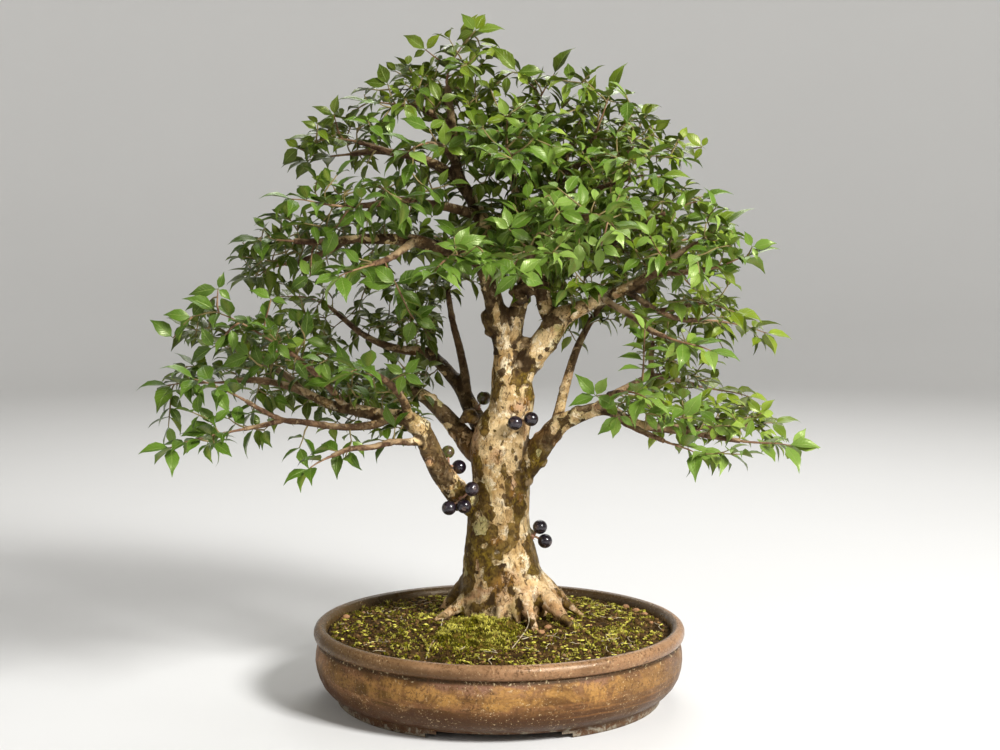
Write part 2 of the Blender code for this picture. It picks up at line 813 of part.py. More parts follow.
def make_ground(soil):
    """Cuts the wood's holes and the moss's bed out of the soil, and clears the moss of the wood."""
    moss = moss_body(0)
    wood = fuse("holes", [trunk_foot(GAP)] + root_tubes(GAP), material("bark"))
    cut(moss, wood)
    wood = fuse("holes", [trunk_foot(GAP)] + root_tubes(GAP), material("bark"))
    cut(soil, wood)
    cut(soil, moss_body(GAP))
    for thing, colour in ((soil, "soil"), (moss, "moss")):
        triangulate(thing)
        thing.data.materials.clear()
        thing.data.materials.append(material(colour))


def make_bunch(name, spots, wood, colour):
    """Berries on short stalks from one spur of the bark."""
    radius = BERRY_RADIUS * MM
    centres = []
    for spot in spots:
        centre = sight(*spot)
        for _ in range(BERRY_TRIES):
            place, _, _, distance = wood.find_nearest(centre)
            if distance >= radius + BERRY_CLEARANCE * MM:
                break
            centre = centre + (centre - place).normalized() * MM / 2
        centres.append(centre)
    middle = sum(centres, Vector()) / len(centres)
    foot, normal, _, _ = wood.find_nearest(middle)
    seat = foot + normal * GAP
    top = seat + normal * SPUR_LENGTH * MM
    pieces = [tube(name, [seat, top], [SPUR_RADIUS * MM, SPUR_RADIUS * SPUR_TAPER * MM], SPUR_SIDES)]
    for centre in centres:
        start = seat + normal * STALK_ROOT * MM
        pieces.append(tube("stalk", [start, centre], [STALK_RADIUS * MM, STALK_RADIUS * MM], STALK_SIDES))
        berry = ball_shape(centre, (radius, radius, radius), BERRY_CORNERS, BERRY_ROWS)
        pieces.append(mesh_object("berry", *berry))
    return fuse(name, pieces, colour)


def twig_route(seat, heading, tip):
    """A spray's twig: straight off the branch's end, then a bend that ends a leaf short of the tip."""
    reach = tip - seat
    end = tip - reach.normalized() * LEAF_LENGTH * TWIG_END_LEAF
    length = (end - seat).length
    start = seat + heading * GAP
    leave = start + heading * TWIG_STRAIGHT
    handle = leave + heading * length * TWIG_BEND[0]
    arrive = end - reach.normalized() * length * TWIG_BEND[1] + Vector((0, 0, TWIG_ARCH * length))
    points = [start, leave]
    for step in TWIG_STEPS:
        rest = 1 - step
        points.append(
            leave * rest**3 + handle * 3 * rest**2 * step + arrive * 3 * rest * step**2 + end * step**3
        )
    return points


def along_route(points, distance):
    """The place and the direction at a distance along a route."""
    for a, b in zip(points, points[1:]):
        length = (b - a).length
        if distance <= length:
            break
        distance -= length
    direction = (b - a).normalized()
    return a + direction * min(distance, length), direction


def leaf_frames(name, points, tip, attempt):
    """Each leaf of a twig as (base, direction, normal, length): one at the end, then pairs going back."""
    total = sum((b - a).length for a, b in zip(points, points[1:]))
    up = Vector((0, 0, 1))
    base = points[-1].lerp(points[-2], 0.05)
    aim = tip + up * LEAF_SAG * LEAF_LENGTH - base
    frames = [(base, aim.normalized(), up, aim.length)]
    pair = 0
    place = total - TWIG_BARE_END
    while place > TWIG_BARE_START:
        base, ahead = along_route(points, place)
        side = ahead.cross(up).normalized()
        over = side.cross(ahead)
        for hand in (-1, 1):
            draw = random.Random(f"{name} {pair} {hand} {attempt}")
            tilt = draw.uniform(-LEAF_TILT, LEAF_TILT) + (LEAF_PAIR_TURN * hand if pair % 2 else 0)
            spread = math.radians(draw.uniform(*LEAF_SPREAD))
            sideways = (side * math.cos(tilt) + over * math.sin(tilt)) * hand
            droop = Vector((0, 0, -draw.uniform(*LEAF_DROOP)))
            direction = (ahead * math.cos(spread) + sideways * math.sin(spread) + droop).normalized()
            roll = Vector((draw.uniform(-LEAF_TILT, LEAF_TILT), draw.uniform(-LEAF_TILT, LEAF_TILT), 1))
            frames.append((base, direction, roll, LEAF_LENGTH * draw.uniform(*LEAF_SIZES)))
        pair += 1
        place -= LEAF_PAIR_SPACING
    return frames


def leaf_shape(frame, swell=0.0, skip=0.0):
    """A drooping blade with a raised rib, sharp edges and a flat underside.

    It may be swollen, or skip the part by the twig.
    """
    base, direction, normal, length = frame
    side = direction.cross(normal).normalized()
    over = side.cross(direction)
    width = LEAF_WIDTH * length / LEAF_LENGTH + swell

    def place(share, across, lift):
        sink = LEAF_SAG * length * share**2
        return base + direction * share * length + side * across * width + over * (lift - sink)

    left = [(share, -across) for share, across in reversed(LEAF_OUTLINE)]
    outline = [(skip, 0), *LEAF_OUTLINE, (1 + swell / length, 0), *left]
    places = [place(share, across, -swell / 2) for share, across in outline]
    places.append(place(LEAF_RIB_PLACE, 0, LEAF_RIB + swell / 2))
    rim = len(outline)
    faces = [(corner, (corner + 1) % rim, rim) for corner in range(rim)]
    faces += [(0, 5, 1), (1, 5, 4), (1, 4, 2), (2, 4, 3)]
    return places, faces


def clear_of(shape, others):
    """Whether a shape crosses none of the others, each given as (search tree, middle, reach)."""
    places, faces = shape
    middle = sum(places, Vector()) / len(places)
    reach = max((place - middle).length for place in places)
    own = tree_of(places, faces)
    for other, other_middle, other_reach in others:
        if other_middle and (other_middle - middle).length > reach + other_reach:
            continue
        if own.overlap(other):
            return False
    return True


def obstacle(shape):
    places, faces = shape
    middle = sum(places, Vector()) / len(places)
    return tree_of(places, faces), middle, max((place - middle).length for place in places)


def twig_radii(points, extra=0.0):
    taper = (TWIG_TIP_RADIUS - TWIG_RADIUS) / (len(points) - 1)
    return [TWIG_RADIUS + taper * step + extra for step in range(len(points))]


def plan_twigs(routes, obstacles):
    """Every spray's twig, bent clear of the wood and of the twigs before it."""
    twigs = {}
    for name, (points, _) in routes.items():
        if not LIMBS[name][2]:
            continue
        seat = points[-1]
        heading = (points[-1] - points[-2]).normalized()
        for attempt in range(LEAF_TRIES):
            draw = random.Random(f"{name} twig {attempt}")
            shift = Vector([draw.uniform(-1, 1) for _ in range(3)]) * TWIG_SHIFT * attempt
            route = twig_route(seat, heading, tip_of(name) + shift)
            swollen = tube_shape(route[1:], twig_radii(route, CLEARANCE)[1:], TWIG_SIDES)
            if clear_of(swollen, obstacles):
                break
        twigs[name] = route
        obstacles.append(obstacle(tube_shape(route[1:], twig_radii(route)[1:], TWIG_SIDES)))
    return twigs


def make_sprays(routes, wood, berries):
    """One leafy spray for each branch, with each leaf bent clear of everything else, or left out."""
    colour = material("leaf")
    obstacles = [(wood, None, 0)] + berries
    twigs = plan_twigs(routes, obstacles)
    leaves = {name: [] for name in twigs}
    for slot in range(LEAVES_PER_SPRAY):
        for name, route in twigs.items():
            if slot >= len(leaf_frames(name, route, tip_of(name), 0)):
                continue
            for attempt in range(LEAF_TRIES):
                frame = leaf_frames(name, route, tip_of(name), attempt)[slot]
                if clear_of(leaf_shape(frame, CLEARANCE * 2, LEAF_FREE_SHARE), obstacles):
                    leaves[name].append(frame)
                    obstacles.append(obstacle(leaf_shape(frame, 0, LEAF_FREE_SHARE)))
                    break
    for name, route in twigs.items():
        pieces = [tube("spray_" + name, route, twig_radii(route), TWIG_SIDES)]
        pieces += [mesh_object("leaf", *leaf_shape(frame)) for frame in leaves[name]]
        fuse("spray_" + name, pieces, colour)


def main():
    clear_scene()
    make_pot()
    soil = make_soil()
    make_ground(soil)
    routes = limb_routes()
    trunk = make_trunk(routes)
    wood = object_tree(trunk)
    berry_colour = material("berry")
    bunches = [make_bunch(name, spots, wood, berry_colour) for name, spots in BERRIES.items()]
    make_sprays(routes, wood, [(object_tree(bunch), None, 0) for bunch in bunches])


main()
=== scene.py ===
"""The looks of a jaboticaba bonsai in its pot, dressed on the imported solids.

Metres, +Z up, the front towards -Y. The tree is laid out as its source lays it out: each limb's route is
read in pixels from the viewpoint that the camera stands at, with a depth behind the trunk's axis.
"""

import math
import random

import bpy
import numpy as np
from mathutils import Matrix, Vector, bvhtree, noise

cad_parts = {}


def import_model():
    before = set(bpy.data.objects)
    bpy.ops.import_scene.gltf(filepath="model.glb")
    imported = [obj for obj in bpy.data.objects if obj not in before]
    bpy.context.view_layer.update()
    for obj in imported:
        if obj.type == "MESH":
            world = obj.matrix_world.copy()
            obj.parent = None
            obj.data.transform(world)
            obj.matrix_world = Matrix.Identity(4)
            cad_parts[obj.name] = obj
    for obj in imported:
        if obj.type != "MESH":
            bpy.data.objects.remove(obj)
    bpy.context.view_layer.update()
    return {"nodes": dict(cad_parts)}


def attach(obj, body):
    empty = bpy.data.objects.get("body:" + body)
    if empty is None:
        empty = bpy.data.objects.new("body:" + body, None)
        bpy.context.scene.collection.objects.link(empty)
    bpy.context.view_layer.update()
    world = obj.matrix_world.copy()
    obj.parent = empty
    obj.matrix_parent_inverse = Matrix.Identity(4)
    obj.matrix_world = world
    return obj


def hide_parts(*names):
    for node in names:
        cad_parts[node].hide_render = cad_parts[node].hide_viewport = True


MM = 0.001
UP = np.array([0.0, 0.0, 1.0])

# Where each part's random draws start
WOOD_SEED = 31
TARGET_SEED = 77
SHOOT_SEED = 5
LEAF_SEED = 12
BERRY_SEED = 8
SOIL_SEED = 2
COVER_SEED = 6
CUSHION_SEED = 3

# Pot
POT_CENTRE_X = 0.023
POT_CORNERS = 192
FOOT_GAP_HALF_WIDTH = 0.063
FOOT_STEP_HALF_WIDTH = 0.074
FOOT_STEP_HEIGHT = 0.005
FOOT_HEIGHT = 0.0085
FLOOR_HEIGHT = 0.0145
DRAIN_RADIUS = 0.010
DRAIN_PLACES = (-0.085, 0.085)
POT_EDGE_ANGLE = 48

# How far the boxes that cut the foot band open reach to the front and back, and down
BEYOND_POT = 0.21
BELOW_POT = 0.01

# Where the pot is uneven as thrown, and its belly with the lines from the wheel, in millimetres
THROWN_RADIUS = 150
THROWN_HEIGHT = 0.5
BELLY_RADIUS = 180
BELLY_HEIGHTS = (14, 64)

# Radius and height in millimetres: the underside, round the foot, belly, groove and lip, then down inside
POT_PROFILE = (
    (40, 8.5), (158, 8.5), (160, 7.6), (161, 1.2), (162.2, 0), (173.4, 0), (174.8, 1.0), (175.4, 4.6),
    (175.5, 8.4), (176.3, 9.9), (179.6, 11.6), (185.2, 15.2), (190.6, 21.4), (194.6, 29.2), (197.0, 37.2),
    (198.0, 45.0), (197.7, 53.0), (196.6, 59.6), (195.2, 63.8), (194.6, 66.0), (195.4, 67.4), (197.6, 68.3),
    (199.2, 70.2), (200, 73.2), (199.7, 76.8), (198.3, 80.0), (195.8, 82.2), (192.6, 83), (189.6, 82.3),
    (187.3, 80.4), (186.0, 77.4), (185.2, 73.4), (184.4, 68.0), (181.6, 44.0), (178.4, 30.0), (165.0, 14.5),
    (40, 14.5),
)

# The middle of a pitted spot in the glaze
PITTED_SPOT = (0.0142, -0.1940, 0.0515)

# Heights through which each marking of the glaze sets in, and where there are two, through which it ends;
# the lip's entry is a painted highlight along its top, not a marking
GLAZE_BELLY = ((0.038, 0.044), (0.064, 0.056))
GLAZE_FRINGE = ((0.0345, 0.0370), (0.0395, 0.0375))
GLAZE_LOW = (0.040, 0.025)
GLAZE_LIP_HIGHLIGHT = (0.0740, 0.0805)
GLAZE_GROOVE = ((0.0615, 0.0648), (0.0690, 0.0670))
GLAZE_CRUMBS = ((0.0570, 0.0640), (0.0700, 0.0665))
GLAZE_THROWN = ((0.018, 0.026), (0.052, 0.044))

# The radii through which the dark glaze of the inside sets in
POT_INNER_RADII = (0.1935, 0.1905)

# Soil and moss
SOIL_RADIUS = 0.1845
SOIL_EDGE_HEIGHT = 0.0735
SOIL_MOUND_HEIGHT = 0.0195
MOSS_CENTRE = (-0.002, -0.078)
MOSS_HALF_SIZE = (0.046, 0.043, 0.013)

# The share of the soil's radius that stems keep to, and the rounds in which a seen place on it is found
SOIL_COVERED = 0.96
GROUND_TRIES = 12

# The soil's rings of points, the radius and height of the two below its top, and how many grains lie on it
SOIL_RINGS = 66
SOIL_SIDES = 260
SOIL_FOOT = ((0.1785, 0.036), (0.1640, 0.0152))
SOIL_GRAINS = 3800

# How many of each thing grow or lie on the soil
CUSHION_TUFTS = 3100
MOSS_TUFTS = 2500
LOBED_GROWTHS = 240
TRAILING_STEMS = 110
STRAY_ROOTS = 54
GRIT = 46

# Longer tufts of moss, as (column, row, height), and crumbs of fired clay, as (column, row)
LONG_TUFTS = (
    (550, 588, 0.009), (356, 611, 0.013), (388, 605, 0.009), (470, 612, 0.007), (575, 630, 0.008),
    (432, 650, 0.008), (612, 634, 0.007), (512, 612, 0.006),
)
CLAY_CRUMBS = ((645, 605), (655, 614), (640, 611), (548, 629), (541, 634), (338, 618))
CLAY_CRUMB_HALF_SIZE = (0.0042, 0.0032, 0.0026)

# The triangles of a blade of moss: three points at its root, three at its middle, and its tip
BLADE_FACES = (
    (0, 2, 1), (0, 1, 4), (0, 4, 3), (1, 2, 5), (1, 5, 4), (2, 0, 3), (2, 3, 5),
    (3, 4, 6), (4, 5, 6), (5, 3, 6),
)

# The camera, which stands at the viewpoint that the tree was measured from
VIEW_DISTANCE = 1.970
VIEW_HEIGHT = 0.540
VIEW_SIDE = 0.024
VIEW_DIP = math.radians(5.5)
VIEW_FOCAL_PIXELS = 1850
VIEW_MIDDLE_COLUMN = 500
VIEW_MIDDLE_ROW = 375
SENSOR_WIDTH = 36
PICTURE_WIDTH = 1000

# A pale round stage whose edge curves up into a wall
STAGE_RADIUS = 3.4
STAGE_CURVE = 1.3
STAGE_HEIGHT = 3.6
STAGE_SIDES = 96
STAGE_STEPS = 12

# Light: the sky, and soft lamps as (name, place, size, power)
SKY_COLOUR = (1.0, 0.970, 0.920, 1)
SKY_STRENGTH = 0.20
LAMPS = (
    ("key", (1.92, -1.95, 2.15), 0.8, 172),
    ("fill", (-1.9, -1.7, 1.1), 1.2, 6),
    ("back", (0.2, 1.9, 2.2), 1.4, 30),
)
LAMP_TARGET = (0, 0, 0.35)

# Wood. Each limb has the limb that it grows from, the tip that its leafy spray reaches, and its route.
# A route point is (column, row, depth, radius): pixels across and down as seen from the viewpoint, then
# millimetres behind the trunk's axis and millimetres of radius. A tip is (column, row, depth).
LIMBS = {
    "trunk": (None, None, (
        (503, 646, 0, 40), (504, 612, 0, 47), (503, 590, 0, 44), (501, 567, 0, 41.5), (500, 548, 0, 38),
        (499, 528, 0, 34), (499, 508, 0, 33), (501, 488, 0, 31), (501, 469, 0, 31), (500, 449, 0, 32),
        (503, 432, 0, 29), (510, 412, 0, 24), (512, 392, 0, 23), (508, 374, 0, 18), (506, 356, 0, 13.5),
        (505, 340, 0, 12.5),
    )),
    "leader_left": ("trunk", (474, 15, 0), (
        (506, 352, 0, 12.5), (499, 323, -3, 10.5), (492, 295, -5, 10), (486, 268, -6, 9), (483, 226, -4, 8),
        (473, 201, 0, 7), (459, 178, 4, 6.5), (455, 153, 6, 5.5), (450, 105, 6, 4.2), (447, 86, 6, 3),
    )),
    "leader_middle": ("trunk", (570, 47, -4), (
        (508, 352, 0, 12), (514, 329, 2, 10), (517, 312, 4, 9.5), (523, 292, 6, 8.5), (526, 270, 8, 7),
        (524, 245, 8, 6), (519, 212, 8, 5.2), (514, 180, 8, 4.6), (516, 150, 6, 4), (524, 126, 4, 3),
        (532, 112, 3, 2.5),
    )),
    "fork_right": ("trunk", (752, 208, -66), (
        (510, 396, 0, 18), (522, 370, -2, 15), (538, 350, -5, 14), (549, 335, -8, 13.5),
        (559, 319, -10, 12.5), (572, 312, -12, 9.5), (588, 305, -15, 7.8), (603, 298, -18, 7),
        (625, 289, -24, 5.8), (643, 279, -30, 5), (657, 271, -34, 4.4), (667, 262, -38, 3.7),
        (681, 252, -42, 3), (696, 243, -48, 2.4),
    )),
    "leader_right": ("fork_right", (596, 76, 22), (
        (557, 322, -10, 10.5), (548, 312, -4, 9.5), (543, 295, 0, 8.5), (541, 277, 4, 7.8),
        (540, 260, 6, 7), (541, 242, 8, 6.3), (546, 220, 12, 5.6), (553, 196, 16, 4.9), (561, 172, 18, 4.2),
        (569, 150, 20, 3), (573, 140, 20, 2.5),
    )),
    "leader_far_right": ("leader_right", (621, 64, -28), (
        (553, 196, 16, 4), (570, 175, 0, 3.7), (588, 150, -12, 3.1), (596, 132, -18, 2.5),
    )),
    "right_top": ("leader_right", (708, 146, 62), (
        (561, 172, 18, 4), (577, 165, 24, 3.7), (593, 160, 30, 3.3), (615, 155, 38, 2.8),
        (638, 152, 46, 2.3),
    )),
    "right_top_up": ("right_top", (663, 105, 84), (
        (593, 160, 30, 3), (608, 142, 44, 2.6), (622, 128, 56, 2.2),
    )),
    "right_top_front": ("leader_right", (690, 176, -104), (
        (546, 220, 12, 4.2), (566, 204, -14, 3.8), (588, 193, -36, 3.2), (612, 184, -56, 2.7),
        (630, 178, -70, 2.2),
    )),
    "right_upper": ("leader_right", (742, 232, 140), (
        (540, 260, 6, 5.8), (556, 267, 26, 5.3), (582, 261, 50, 4.6), (607, 254, 72, 4),
        (634, 250, 90, 3.4), (660, 246, 104, 2.8), (680, 241, 114, 2.3),
    )),
    "right_upper_front": ("right_upper", (730, 190, -40), (
        (600, 256, 66, 3.2), (622, 237, 30, 2.8), (644, 223, 2, 2.5), (666, 213, -16, 2.2),
    )),
    "right_side": ("fork_right", (777, 247, -120), (
        (651, 275, -32, 3.6), (668, 273, -52, 3.2), (688, 272, -72, 2.8), (708, 269, -88, 2.3),
    )),
    "right_hanging": ("fork_right", (742, 360, -130), (
        (603, 298, -18, 4.4), (613, 305, -40, 3.8), (630, 315, -64, 3.3), (650, 330, -86, 2.8),
        (666, 337, -100, 2.3),
    )),
    "right_spreading": ("fork_right", (794, 339, 84), (
        (625, 289, -24, 4.2), (642, 301, 0, 3.7), (658, 311, 24, 3.3), (680, 319, 46, 2.8),
        (704, 320, 62, 2.4),
    )),
    "right_spreading_up": ("right_spreading", (765, 318, -34), (
        (658, 311, 24, 2.9), (676, 308, 4, 2.6), (694, 304, -12, 2.2),
    )),
    "right_low": ("trunk", (821, 448, -80), (
        (504, 484, 0, 24), (519, 470, -6, 18), (532, 457, -10, 14.5), (546, 439, -16, 12),
        (559, 425, -20, 10.5), (579, 415, -26, 8.2), (599, 409, -32, 7.2), (612, 411, -36, 6.4),
        (631, 422, -42, 5.6), (658, 428, -48, 4.5), (688, 432, -54, 3.6), (716, 437, -60, 2.9),
        (740, 441, -64, 2.4),
    )),
    "right_low_up": ("right_low", (804, 420, 16), (
        (650, 427, -46, 3.6), (676, 427, -24, 3.1), (706, 428, -8, 2.6), (732, 427, 2, 2.2),
    )),
    "right_low_front": ("right_low", (725, 464, -150), (
        (612, 411, -36, 4), (622, 421, -60, 3.4), (641, 431, -88, 2.9), (664, 441, -112, 2.3),
    )),
    "right_low_stem": ("right_low", (660, 262, 140), (
        (556, 427, -18, 7), (560, 408, -8, 6), (565, 388, 4, 5.4), (571, 366, 16, 4.9), (578, 346, 28, 4.4),
        (587, 328, 42, 3.8), (598, 310, 58, 3.1), (612, 296, 76, 2.4),
    )),
    "right_back": ("right_low", (774, 402, 150), (
        (592, 411, -30, 6), (612, 396, 6, 4.9), (634, 384, 46, 4.1), (654, 376, 80, 3.5),
        (680, 381, 104, 2.8), (698, 386, 118, 2.3),
    )),
    "right_back_stem": ("right_back", (704, 352, 96), (
        (651, 377, 76, 3.3), (651, 360, 74, 2.9), (653, 343, 74, 2.3),
    )),
    "left_low": ("trunk", (135, 387, -84), (
        (484, 512, -2, 17), (470, 502, -8, 14.5), (456, 491, -13, 13), (444, 476, -20, 12),
        (434, 458, -26, 11.5), (425, 438, -32, 11), (415, 423, -38, 10), (400, 417, -41, 8.3),
        (380, 415, -43, 7.4), (357, 410, -44, 6.5), (331, 405, -46, 5.5), (304, 392, -48, 4.6),
        (277, 383, -52, 3.9), (250, 380, -56, 3.2), (226, 382, -60, 2.5),
    )),
    "left_low_back": ("left_low", (166, 316, 70), (
        (304, 392, -48, 3.9), (287, 376, -20, 3.4), (266, 364, 10, 2.9), (244, 354, 34, 2.4),
    )),
    "left_low_up": ("left_low", (186, 296, -140), (
        (346, 408, -45, 4.2), (326, 384, -70, 3.6), (302, 362, -92, 3), (276, 344, -110, 2.4),
    )),
    "left_low_fork": ("left_low", (164, 366, -146), (
        (392, 416, -42, 5.6), (376, 424, -52, 4.7), (354, 427, -64, 4.2), (330, 426, -78, 3.7),
        (303, 422, -92, 3.2), (283, 420, -102, 2.8), (263, 411, -110, 2.4), (246, 401, -116, 2.2),
    )),
    "left_low_fork_down": ("left_low_fork", (137, 456, -156), (
        (283, 420, -102, 2.8), (264, 425, -112, 2.5), (244, 429, -122, 2.2),
    )),
    "left_low_front": ("left_low", (282, 484, -164), (
        (424, 441, -31, 6), (408, 442, -52, 4.2), (392, 442, -74, 3.6), (373, 447, -96, 3.1),
        (350, 449, -116, 2.7), (332, 456, -130, 2.3),
    )),
    "left_middle": ("trunk", (262, 398, 190), (
        (488, 464, 4, 18), (474, 449, 18, 13), (463, 436, 30, 11), (450, 421, 42, 9.5), (437, 407, 52, 8.4),
        (420, 394, 64, 7.2), (400, 391, 80, 5.4), (378, 395, 98, 4), (358, 397, 116, 3),
        (342, 396, 130, 2.4),
    )),
    "left_back": ("trunk", (252, 292, 220), (
        (492, 446, 22, 15), (480, 424, 44, 11), (469, 404, 60, 9.2), (460, 386, 72, 8.2),
        (449, 373, 84, 7.5), (438, 361, 96, 6.8), (425, 352, 108, 6.2), (404, 350, 124, 5.2),
        (382, 344, 140, 4.4), (361, 333, 154, 3.6), (345, 320, 166, 2.9), (331, 308, 176, 2.3),
    )),
    "left_back_twig": ("left_back", (352, 268, 150), (
        (436, 360, 98, 4.2), (431, 342, 104, 3.7), (423, 322, 112, 3), (416, 304, 120, 2.4),
    )),
    "left_back_stem": ("left_back", (420, 222, 130), (
        (467, 400, 62, 6), (465, 376, 68, 5.2), (460, 350, 76, 4.5), (453, 323, 84, 3.8),
        (449, 300, 92, 3.1), (447, 280, 98, 2.4),
    )),
    "left_upper": ("leader_left", (227, 240, -106), (
        (486, 264, -6, 8.6), (465, 254, -16, 8), (439, 247, -30, 7.3), (415, 241, -42, 6.7),
        (391, 239, -52, 6), (362, 239, -62, 5.2), (335, 241, -72, 4.4), (310, 242, -80, 3.4),
        (294, 241, -86, 2.7),
    )),
    "left_upper_low": ("left_upper", (222, 286, 30), (
        (346, 240, -68, 3.9), (326, 252, -46, 3.3), (306, 259, -26, 2.8), (286, 264, -8, 2.3),
    )),
    "left_upper_front": ("left_upper", (312, 286, -196), (
        (415, 241, -42, 5), (402, 250, -80, 4.1), (390, 258, -116, 3.3), (374, 264, -146, 2.5),
    )),
    "left_high": ("leader_left", (278, 165, 66), (
        (466, 190, 2, 6), (445, 170, 12, 5.6), (420, 158, 22, 5), (396, 153, 30, 4.5), (375, 151, 38, 3.7),
        (352, 154, 46, 2.8),
    )),
    "left_high_up": ("left_high", (285, 139, -16), (
        (392, 153, 32, 3.2), (372, 146, 20, 2.8), (358, 142, 12, 2.4),
    )),
    "left_high_front": ("leader_left", (260, 195, -156), (
        (480, 215, -3, 6), (452, 208, -28, 5.1), (424, 203, -52, 4.4), (398, 200, -74, 3.8),
        (370, 205, -94, 3.2), (346, 206, -110, 2.5),
    )),
    "left_top": ("leader_left", (337, 100, -28), (
        (453, 135, 6, 5), (438, 118, 2, 4), (420, 108, -4, 3.2), (406, 106, -8, 2.5),
    )),
    "left_top_up": ("leader_left", (390, 62, 44), (
        (450, 108, 6, 3.4), (442, 96, 14, 2.8), (436, 88, 20, 2.4),
    )),
    "front_left": ("leader_left", (424, 282, -244), (
        (485, 260, -6, 6.5), (476, 258, -44, 5.4), (466, 258, -84, 4.5), (456, 258, -122, 3.6),
        (450, 258, -156, 2.7),
    )),
    "front_middle": ("leader_middle", (505, 276, -248), (
        (526, 270, 8, 6), (528, 262, -34, 5.2), (530, 254, -76, 4.4), (530, 250, -116, 3.5),
        (528, 250, -150, 2.7),
    )),
    "front_right": ("leader_right", (628, 238, -232), (
        (541, 242, 8, 5.6), (552, 232, -32, 4.8), (566, 224, -72, 4.1), (582, 218, -108, 3.4),
        (596, 216, -140, 2.6),
    )),
    "front_high": ("leader_middle", (520, 168, -164), (
        (514, 180, 8, 4.6), (510, 166, -26, 4), (506, 156, -60, 3.4), (506, 150, -92, 2.6),
    )),
    "front_high_left": ("leader_left", (392, 158, -158), (
        (456, 164, 5, 5), (448, 152, -28, 4.3), (438, 146, -60, 3.6), (428, 144, -88, 2.7),
    )),
    "front_low_left": ("left_low", (338, 372, -230), (
        (410, 420, -39, 6), (404, 402, -66, 4.6), (394, 388, -94, 3.8), (382, 378, -122, 3),
        (372, 372, -144, 2.4),
    )),
    "front_low_right": ("right_low", (664, 402, -196), (
        (599, 409, -32, 5), (604, 400, -66, 4.1), (612, 394, -98, 3.4), (622, 392, -126, 2.6),
    )),
    "back_left": ("leader_left", (396, 250, 250), (
        (486, 268, -6, 6.5), (474, 256, 40, 5.6), (460, 246, 88, 4.8), (444, 240, 134, 3.9),
        (430, 238, 172, 2.8),
    )),
    "back_middle": ("leader_middle", (556, 272, 254), (
        (523, 284, 6, 6.2), (530, 270, 50, 5.4), (538, 260, 98, 4.6), (544, 254, 142, 3.7),
        (548, 252, 178, 2.7),
    )),
    "back_right": ("leader_right", (664, 214, 232), (
        (541, 252, 7, 5.6), (562, 240, 48, 4.9), (586, 230, 92, 4.2), (606, 224, 132, 3.4),
        (622, 222, 164, 2.6),
    )),
    "back_high": ("leader_middle", (484, 134, 178), (
        (516, 160, 7, 4.4), (512, 148, 42, 3.8), (506, 140, 78, 3.2), (500, 138, 108, 2.5),
    )),
}

# Surface roots, in the same numbers as the routes, each diving into the soil at its end
ROOTS = (
    (
        (484, 580, -6, 21), (474, 592, -10, 13), (464, 602, -15, 8.0), (453, 610, -19, 5.4),
        (443, 616, -23, 3.8), (435, 621, -27, 2.6),
    ),
    ((474, 584, 14, 18), (456, 598, 22, 10), (446, 606, 28, 5.5), (438, 614, 32, 3)),
    ((500, 584, -24, 18), (504, 598, -38, 9.5), (501, 610, -45, 5.5), (498, 624, -50, 3)),
    ((510, 594, -32, 9), (516, 608, -44, 5), (519, 624, -52, 3)),
    (
        (518, 584, -24, 18), (524, 599, -40, 9.5), (528, 612, -52, 6.2), (532, 623, -61, 4.4),
        (536, 633, -69, 3),
    ),
    (
        (526, 584, -14, 20), (543, 597, -26, 12), (554, 607, -35, 8.2), (562, 616, -42, 6),
        (570, 626, -49, 3.6),
    ),
    ((530, 582, 6, 19), (551, 593, 4, 10.5), (564, 602, 0, 6.2), (573, 609, -2, 4.2), (582, 616, 0, 2.8)),
    ((514, 584, 24, 18), (530, 592, 54, 10), (540, 600, 78, 5)),
    ((486, 584, 24, 18), (470, 592, 52, 10), (458, 602, 72, 5)),
)

# How much thicker a surface root is drawn, how far it wanders, and the size and shade that its bark has
ROOT_SWELL = 1.04
ROOT_WANDER = 0.0006
ROOT_SAMPLE = 0.02
ROOT_SHADE = 0.30

# Swellings where old limbs were cut, as (column, row, depth, radius)
BURLS = (
    (490, 322, -2, 8.5), (486, 315, 0, 6.5), (491, 332, -2, 7), (517, 291, -4, 8.5), (526, 287, -2, 7.5),
    (520, 298, -6, 7.5), (531, 290, 0, 7), (553, 321, -12, 9), (560, 316, -12, 8), (556, 327, -14, 7),
    (470, 415, 26, 8), (465, 419, 22, 6), (474, 419, 20, 6), (536, 452, -6, 10), (541, 462, -6, 7),
    (452, 478, -22, 6), (424, 424, -34, 7), (412, 421, -40, 8), (560, 420, -22, 7.5), (577, 411, -28, 6.5),
    (640, 289, -22, 7), (485, 505, -12, 8), (497, 392, -6, 6), (529, 398, -6, 6), (522, 347, -6, 8),
    (525, 341, -5, 5.5), (478, 588, -22, 9), (506, 592, -30, 7), (540, 588, -18, 10), (532, 534, 0, 5),
)

# The radius from which wood is modelled in one smooth skin, that skin's faces, and the steps of a route
SKIN_RADIUS = 0.0036
SKIN_FACE = 0.0020
ROUTE_STEP = 0.004

# The sides of the tubes, the point at their ends as a share of their radius, and a slim limb's nodes
TRUNK_SIDES = 20
LIMB_SIDES = 12
SLIM_SIDES = 9
TUBE_POINT = 0.4
NODE_SPACING = 0.017

# Small knobs on the limbs: how far on the first is, the next ones, and their size and seat in radii
KNOB_START = (0.010, 0.022)
KNOB_SPACING = (0.012, 0.026)
KNOB_SIZES = (0.38, 0.60)
KNOB_SEAT = 0.72

# Bark: the radii of full girth and of full lumps, and heights through which the root's and crown's set in
FULL_GIRTH = 0.030
LUMPY_RADIUS = 0.014
ROOT_BARK = (0.150, 0.095)
CROWN_BARK = (0.40, 0.52)

# Below this height the crevices between the roots are partly filled, so that they run into the trunk
ROOT_FILL_HEIGHT = 0.150
FILL_ROUNDS = (40, 22, 11)
FILL_MOST = 0.004

